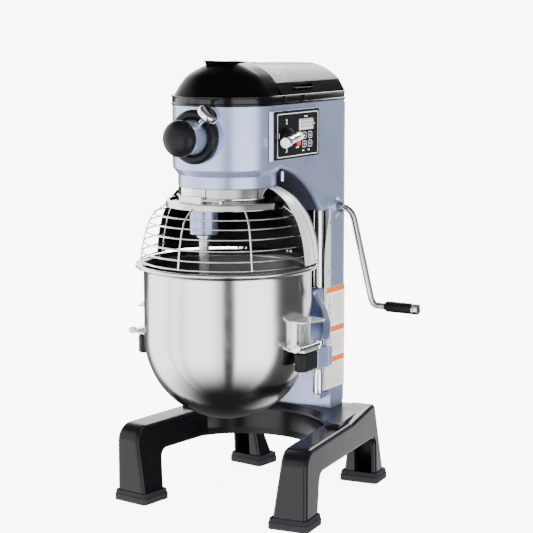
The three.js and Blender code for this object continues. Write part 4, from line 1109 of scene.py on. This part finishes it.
def make_beater():
    """A cast blade that follows the bowl, with four windows and a sleeve."""
    def reach(z):
        return math.sqrt((BOWL_R - 2) ** 2 - max(BOWL_CENTRE_Z - z, 0) ** 2) - 45 - 6

    low = [(reach(z), z) for z in (365, 340, 320, 300, 280, 260, 240, 225, 212, 204)]
    outline = mirror_line([(0, 392), (14, 392), (80, 385), *low, (0, 194)])
    blade = prism("beater", outline, -7, 7, "Y", 2.6, 3)
    window = rounded([(12, 378), (74, 371), (92, 352), (92, 318), (84, 286), (66, 256), (46, 236), (12, 218)],
                     8, 4)
    cross = rounded(rect(9, 96, 292, 304), 0)
    openings = []
    for s in (1, -1):
        opening = prism("window", [(s * a, b) for a, b in window], -20, 20, "Y")
        openings.append(cut(opening, prism("cross", [(s * a, b) for a, b in cross], -30, 30, "Y")))
    blade = soften(cut(blade, *openings), 1.6, 2, 50)
    sleeve = spun("sleeve", [(9.9, 376), (17, 376, 2), (17, 455, 3), (9.9, 455, 1)], 56)
    piece(at_agitator(join(blade, sleeve)), CAST_ALUMINIUM, "flat_beater", crease=38, flat=True)


# ---------------------------------------------------------------- bowl, yoke and clamps
def make_bowl():
    outer = arc(0, BOWL_CENTRE_Z, BOWL_R, -90, 0, 32)
    inner = arc(0, BOWL_CENTRE_Z, BOWL_R - 1.6, 0, -90, 32)
    flare = smooth_line([(BOWL_R, RIM_Z - 16), (BOWL_R + 1.4, RIM_Z - 11.5), (BOWL_R + 7, RIM_Z - 7.6)], 4)
    bead = arc(RIM_R - 4.2, RIM_Z - 4.2, 4.2, -110, 150, 14)
    lip = smooth_line([(RIM_R - 10, RIM_Z - 3.6), (BOWL_R + 2, RIM_Z - 6.4), (BOWL_R - 1.6, RIM_Z - 12)], 4)
    shell = lathe("bowl_shell", [*outer, *flare, *bead, *lip, *inner], 160)
    shell.data.materials.append(STEEL_SPUN)
    shell.data.materials.append(STEEL_SHADE)
    # Faces inside the bowl take the dark steel copy: painted shade.
    for face in shell.data.polygons:
        x, y, z = face.center
        inside = Vector((x, y, min(z - BOWL_CENTRE_Z, 0))).length < BOWL_R - 0.9 and z < RIM_Z - 13
        face.material_index = int(inside)
    piece(shell, STEEL_SPUN, "mixing_bowl", crease=50)
    for side, s in SIDES:
        front_rib = box("front_rib", (150, -31, 332), (170, -28.4, 385), 0.5)
        rear_rib = box("rear_rib", (150, 7, 332), (177, 9.6, 385), 0.5)
        foot = box("foot", (150, -34, 328.6), (189, 14, 333.4), 1.2)
        tab = prism("tab", rounded([(150, -34), (186, -35), (203, 8), (199, 26), (172, 33), (150, 20)], 5),
                    383.6, 386.9, "Z", 0.8, 2)
        rib = box("rib", (164, -13, 333), (166.4, -9, 384), 0.4)
        bracket = join(foot, front_rib, rear_rib, tab, rib)
        bracket = cut(bracket, cylinder("round", BOWL_R + 0.2, 300, 400, 160))
        bracket.name = f"bracket_{side}"
        if s < 0:
            turned(bracket, Matrix.Diagonal((-1, 1, 1, 1)))
        piece(bracket, STEEL_FLAT, f"bowl_bracket_{side}", flat=True)


YOKE_INNER_R, YOKE_OUTER_R = 183, 197
YOKE_TOP = [(0, 412), (85, 412), (99, 404), (136, 386), (167, 366), (180, 342), (192, 328)]
YOKE_LOW = [(0, 276), (100, 276), (150, 283), (192, 288)]


def level_at(line, x):
    """Height of a line of (x, z) points at x, its corners softened."""
    total = 0.0
    for shift in (-6, -3, 0, 3, 6):
        here = min(max(abs(x) + shift, 0.0), line[-1][0])
        for (x0, z0), (x1, z1) in zip(line, line[1:]):
            if x0 <= here <= x1:
                total += z0 + (z1 - z0) * (here - x0) / (x1 - x0)
                break
    return total / 5


def make_yoke():
    rings = []
    for k in range(97):
        a = math.radians(17 + 146 * k / 96)
        x = 190 * math.cos(a)
        levels = level_at(YOKE_LOW, x), level_at(YOKE_TOP, x)
        outline = rounded(rect(YOKE_INNER_R, YOKE_OUTER_R, *levels), 2.4, 3)
        rings.append([(r * math.cos(a), r * math.sin(a), z) for r, z in outline])
    cradle = loft("yoke", rings)
    arms = [side_box("arm", s, (167, 18.5, 288), (188, 76, 328), 3) for s in (1, -1)]
    sliders = [side_box("slider", s, (73, 160, 300), (100.5, 214, 412), 4) for s in (1, -1)]
    lug = box("lug", (-19, 180, 318), (19, 256, 362), 3)
    body = join(cradle, *arms, *sliders, lug)
    holes = [moved(cylinder("hole", 10.3, 100, 600, 40), s * ROD_X, ROD_Y) for s in (1, -1)]
    pivots = [moved(cylinder("hole", 6.3, 100, 600, 32), s * CLAMP.x, CLAMP.y) for s in (1, -1)]
    body = cut(body, *holes, *pivots, moved(cylinder("nut_hole", 15.3, 100, 600, 40), 0, CRANK.y))
    piece(body, PAINT, "bowl_yoke", flat=True)


def make_clamps():
    for side, s in SIDES:
        outline = rounded([(164, 18.2), (164, -26), (168, -34), (177, -38), (186, -34), (190, -26),
                           (190, 18.2)], 5)
        block = prism(f"clamp_body_{side}", [(s * a, b) for a, b in outline], 292, 328, "Z", 4.0)
        piece(block, PLASTIC, f"clamp_block_{side}", flat=True)
        bolt = spun("bolt", [(0, 279), (8.4, 279, 0.8), (8.4, 287, 0.5), (6, 287.4), (6, 333),
                             (10.5, 333.6, 0.8), (10.5, 343, 1.5), (8.6, 345.6, 1.2), (0, 345.6)], 48)
        arm = rounded([(-4, 9), (8, 7), (8, -86), (-1, -90), (-1, -20), (-4, -8)], 3)
        handle = prism("handle", [(s * a, b) for a, b in arm], 334.4, 341, "Z", 1.6)
        knob = spun("knob", [(0, 80), (5, 80, 1.4), (6.6, 84, 2.4), (6.6, 93, 2.6), (3.4, 97, 1.4), (0, 97)],
                    36)
        turned(knob, Matrix.Translation((s * 2.5, 0, 340.6)) @ FORWARD)
        lever = moved(gathered(f"clamp_handle_{side}", [bolt, handle]), s * CLAMP.x, CLAMP.y)
        piece(lever, CHROME, f"clamp_lever_{side}", flat=True)
        piece(moved(knob, s * CLAMP.x, CLAMP.y), WHITE, body=BODY_OF[f"clamp_lever_{side}"], slot="label",
              crease=40)


# ---------------------------------------------------------------- crank and gland
def make_crank():
    drop = GRIP.z - CRANK.z

    def bend(start, middle, end, steps):
        """A quadratic curve from start to end, pulled towards middle."""
        shares = [k / steps for k in range(steps + 1)]
        return [tuple((1 - t) ** 2 * a + 2 * t * (1 - t) * b + t * t * c
                      for a, b, c in zip(start, middle, end)) for t in shares]

    path = [(116.4, 0), *bend((120, 0), (138, -1), (146, -22), 12),
            *bend((184, drop + 19), (188, drop), (200, drop), 12), (217, drop)]
    arm = sweep("arm", [(x, 0, z) for x, z in path], 6.5, 24)
    sleeve = turned(spun("sleeve", [(8.4, 112), (10, 112, 0.6), (10, 120, 1.2), (6.3, 120.2, 0.4),
                                    (6.3, 116.4), (8.4, 116.4)], 48), SIDEWAYS)
    piece(moved(arm, 0, CRANK.y, CRANK.z), CHROME, "crank_arm", crease=50)
    piece(moved(sleeve, 0, CRANK.y, CRANK.z), MACHINED, body="crank", slot="chrome", crease=40)
    place = Matrix.Translation((0, GRIP.y, GRIP.z)) @ SIDEWAYS
    grip = spun("crank_handle", [(0, 217), (7.6, 217, 0.6), (10.75, 222, 2), (10.75, 277.6, 0.3), (0, 277.6)],
                64, 4)
    piece(turned(grip, place), PLASTIC, "crank_grip", crease=40)
    end = spun("crank_handle_end", [(0, 277.6), (10.7, 277.6, 0.2), (10.7, 289, 1.2), (8.8, 290, 0.4),
                                    (7.6, 288.6, 0.6), (0, 288.6)], 64, 4)
    piece(turned(end, place), CHROME, body="grip", slot="chrome", crease=40)


def make_gland():
    low, high = span("cord_gland")
    x, z = (low.x + high.x) / 2, (low.z + high.z) / 2
    place = spot(x, 0, z, -90, "X")
    nut = prism("gland_nut", polygon(10.8, 6), low.y, low.y + 6, "Z", 0.8)
    body = spun("gland_body", [(4.5, low.y + 5), (8.5, low.y + 5), (8.5, high.y - 4, 1), (6.6, high.y, 1),
                               (4.5, high.y, 0.5)], 48)
    piece(turned(gathered("gland", [nut, body]), place), PLASTIC, "cord_gland", flat=True)


# ---------------------------------------------------------------- CAD nodes that stay as they are
KEPT = {
    "ring_gear": MACHINED, "main_shaft": MACHINED, "main_bearing": MACHINED, "countershaft": MACHINED,
    "motor_rotor": MACHINED, "hub_shaft": MACHINED, "lift_screw": MACHINED, "crank_shaft": MACHINED,
    "hub_bushing": BRONZE, "lift_nut": BRONZE, "motor_stator": COPPER,
}


def finish_kept_nodes():
    for node, look in KEPT.items():
        thing = frame["nodes"][node]
        thing.data.materials.clear()
        thing.data.materials.append(look)


make_camera()
make_world()
make_stage()
make_base()
make_feet()
make_housing()
make_rear_cover()
make_top_cover()
make_cover_screws()
make_slideway()
make_panel()
make_selector()
make_plate()
make_hub()
make_guards()
make_planetary()
make_bowl()
make_yoke()
make_clamps()
make_crank()
make_gland()
finish_kept_nodes()
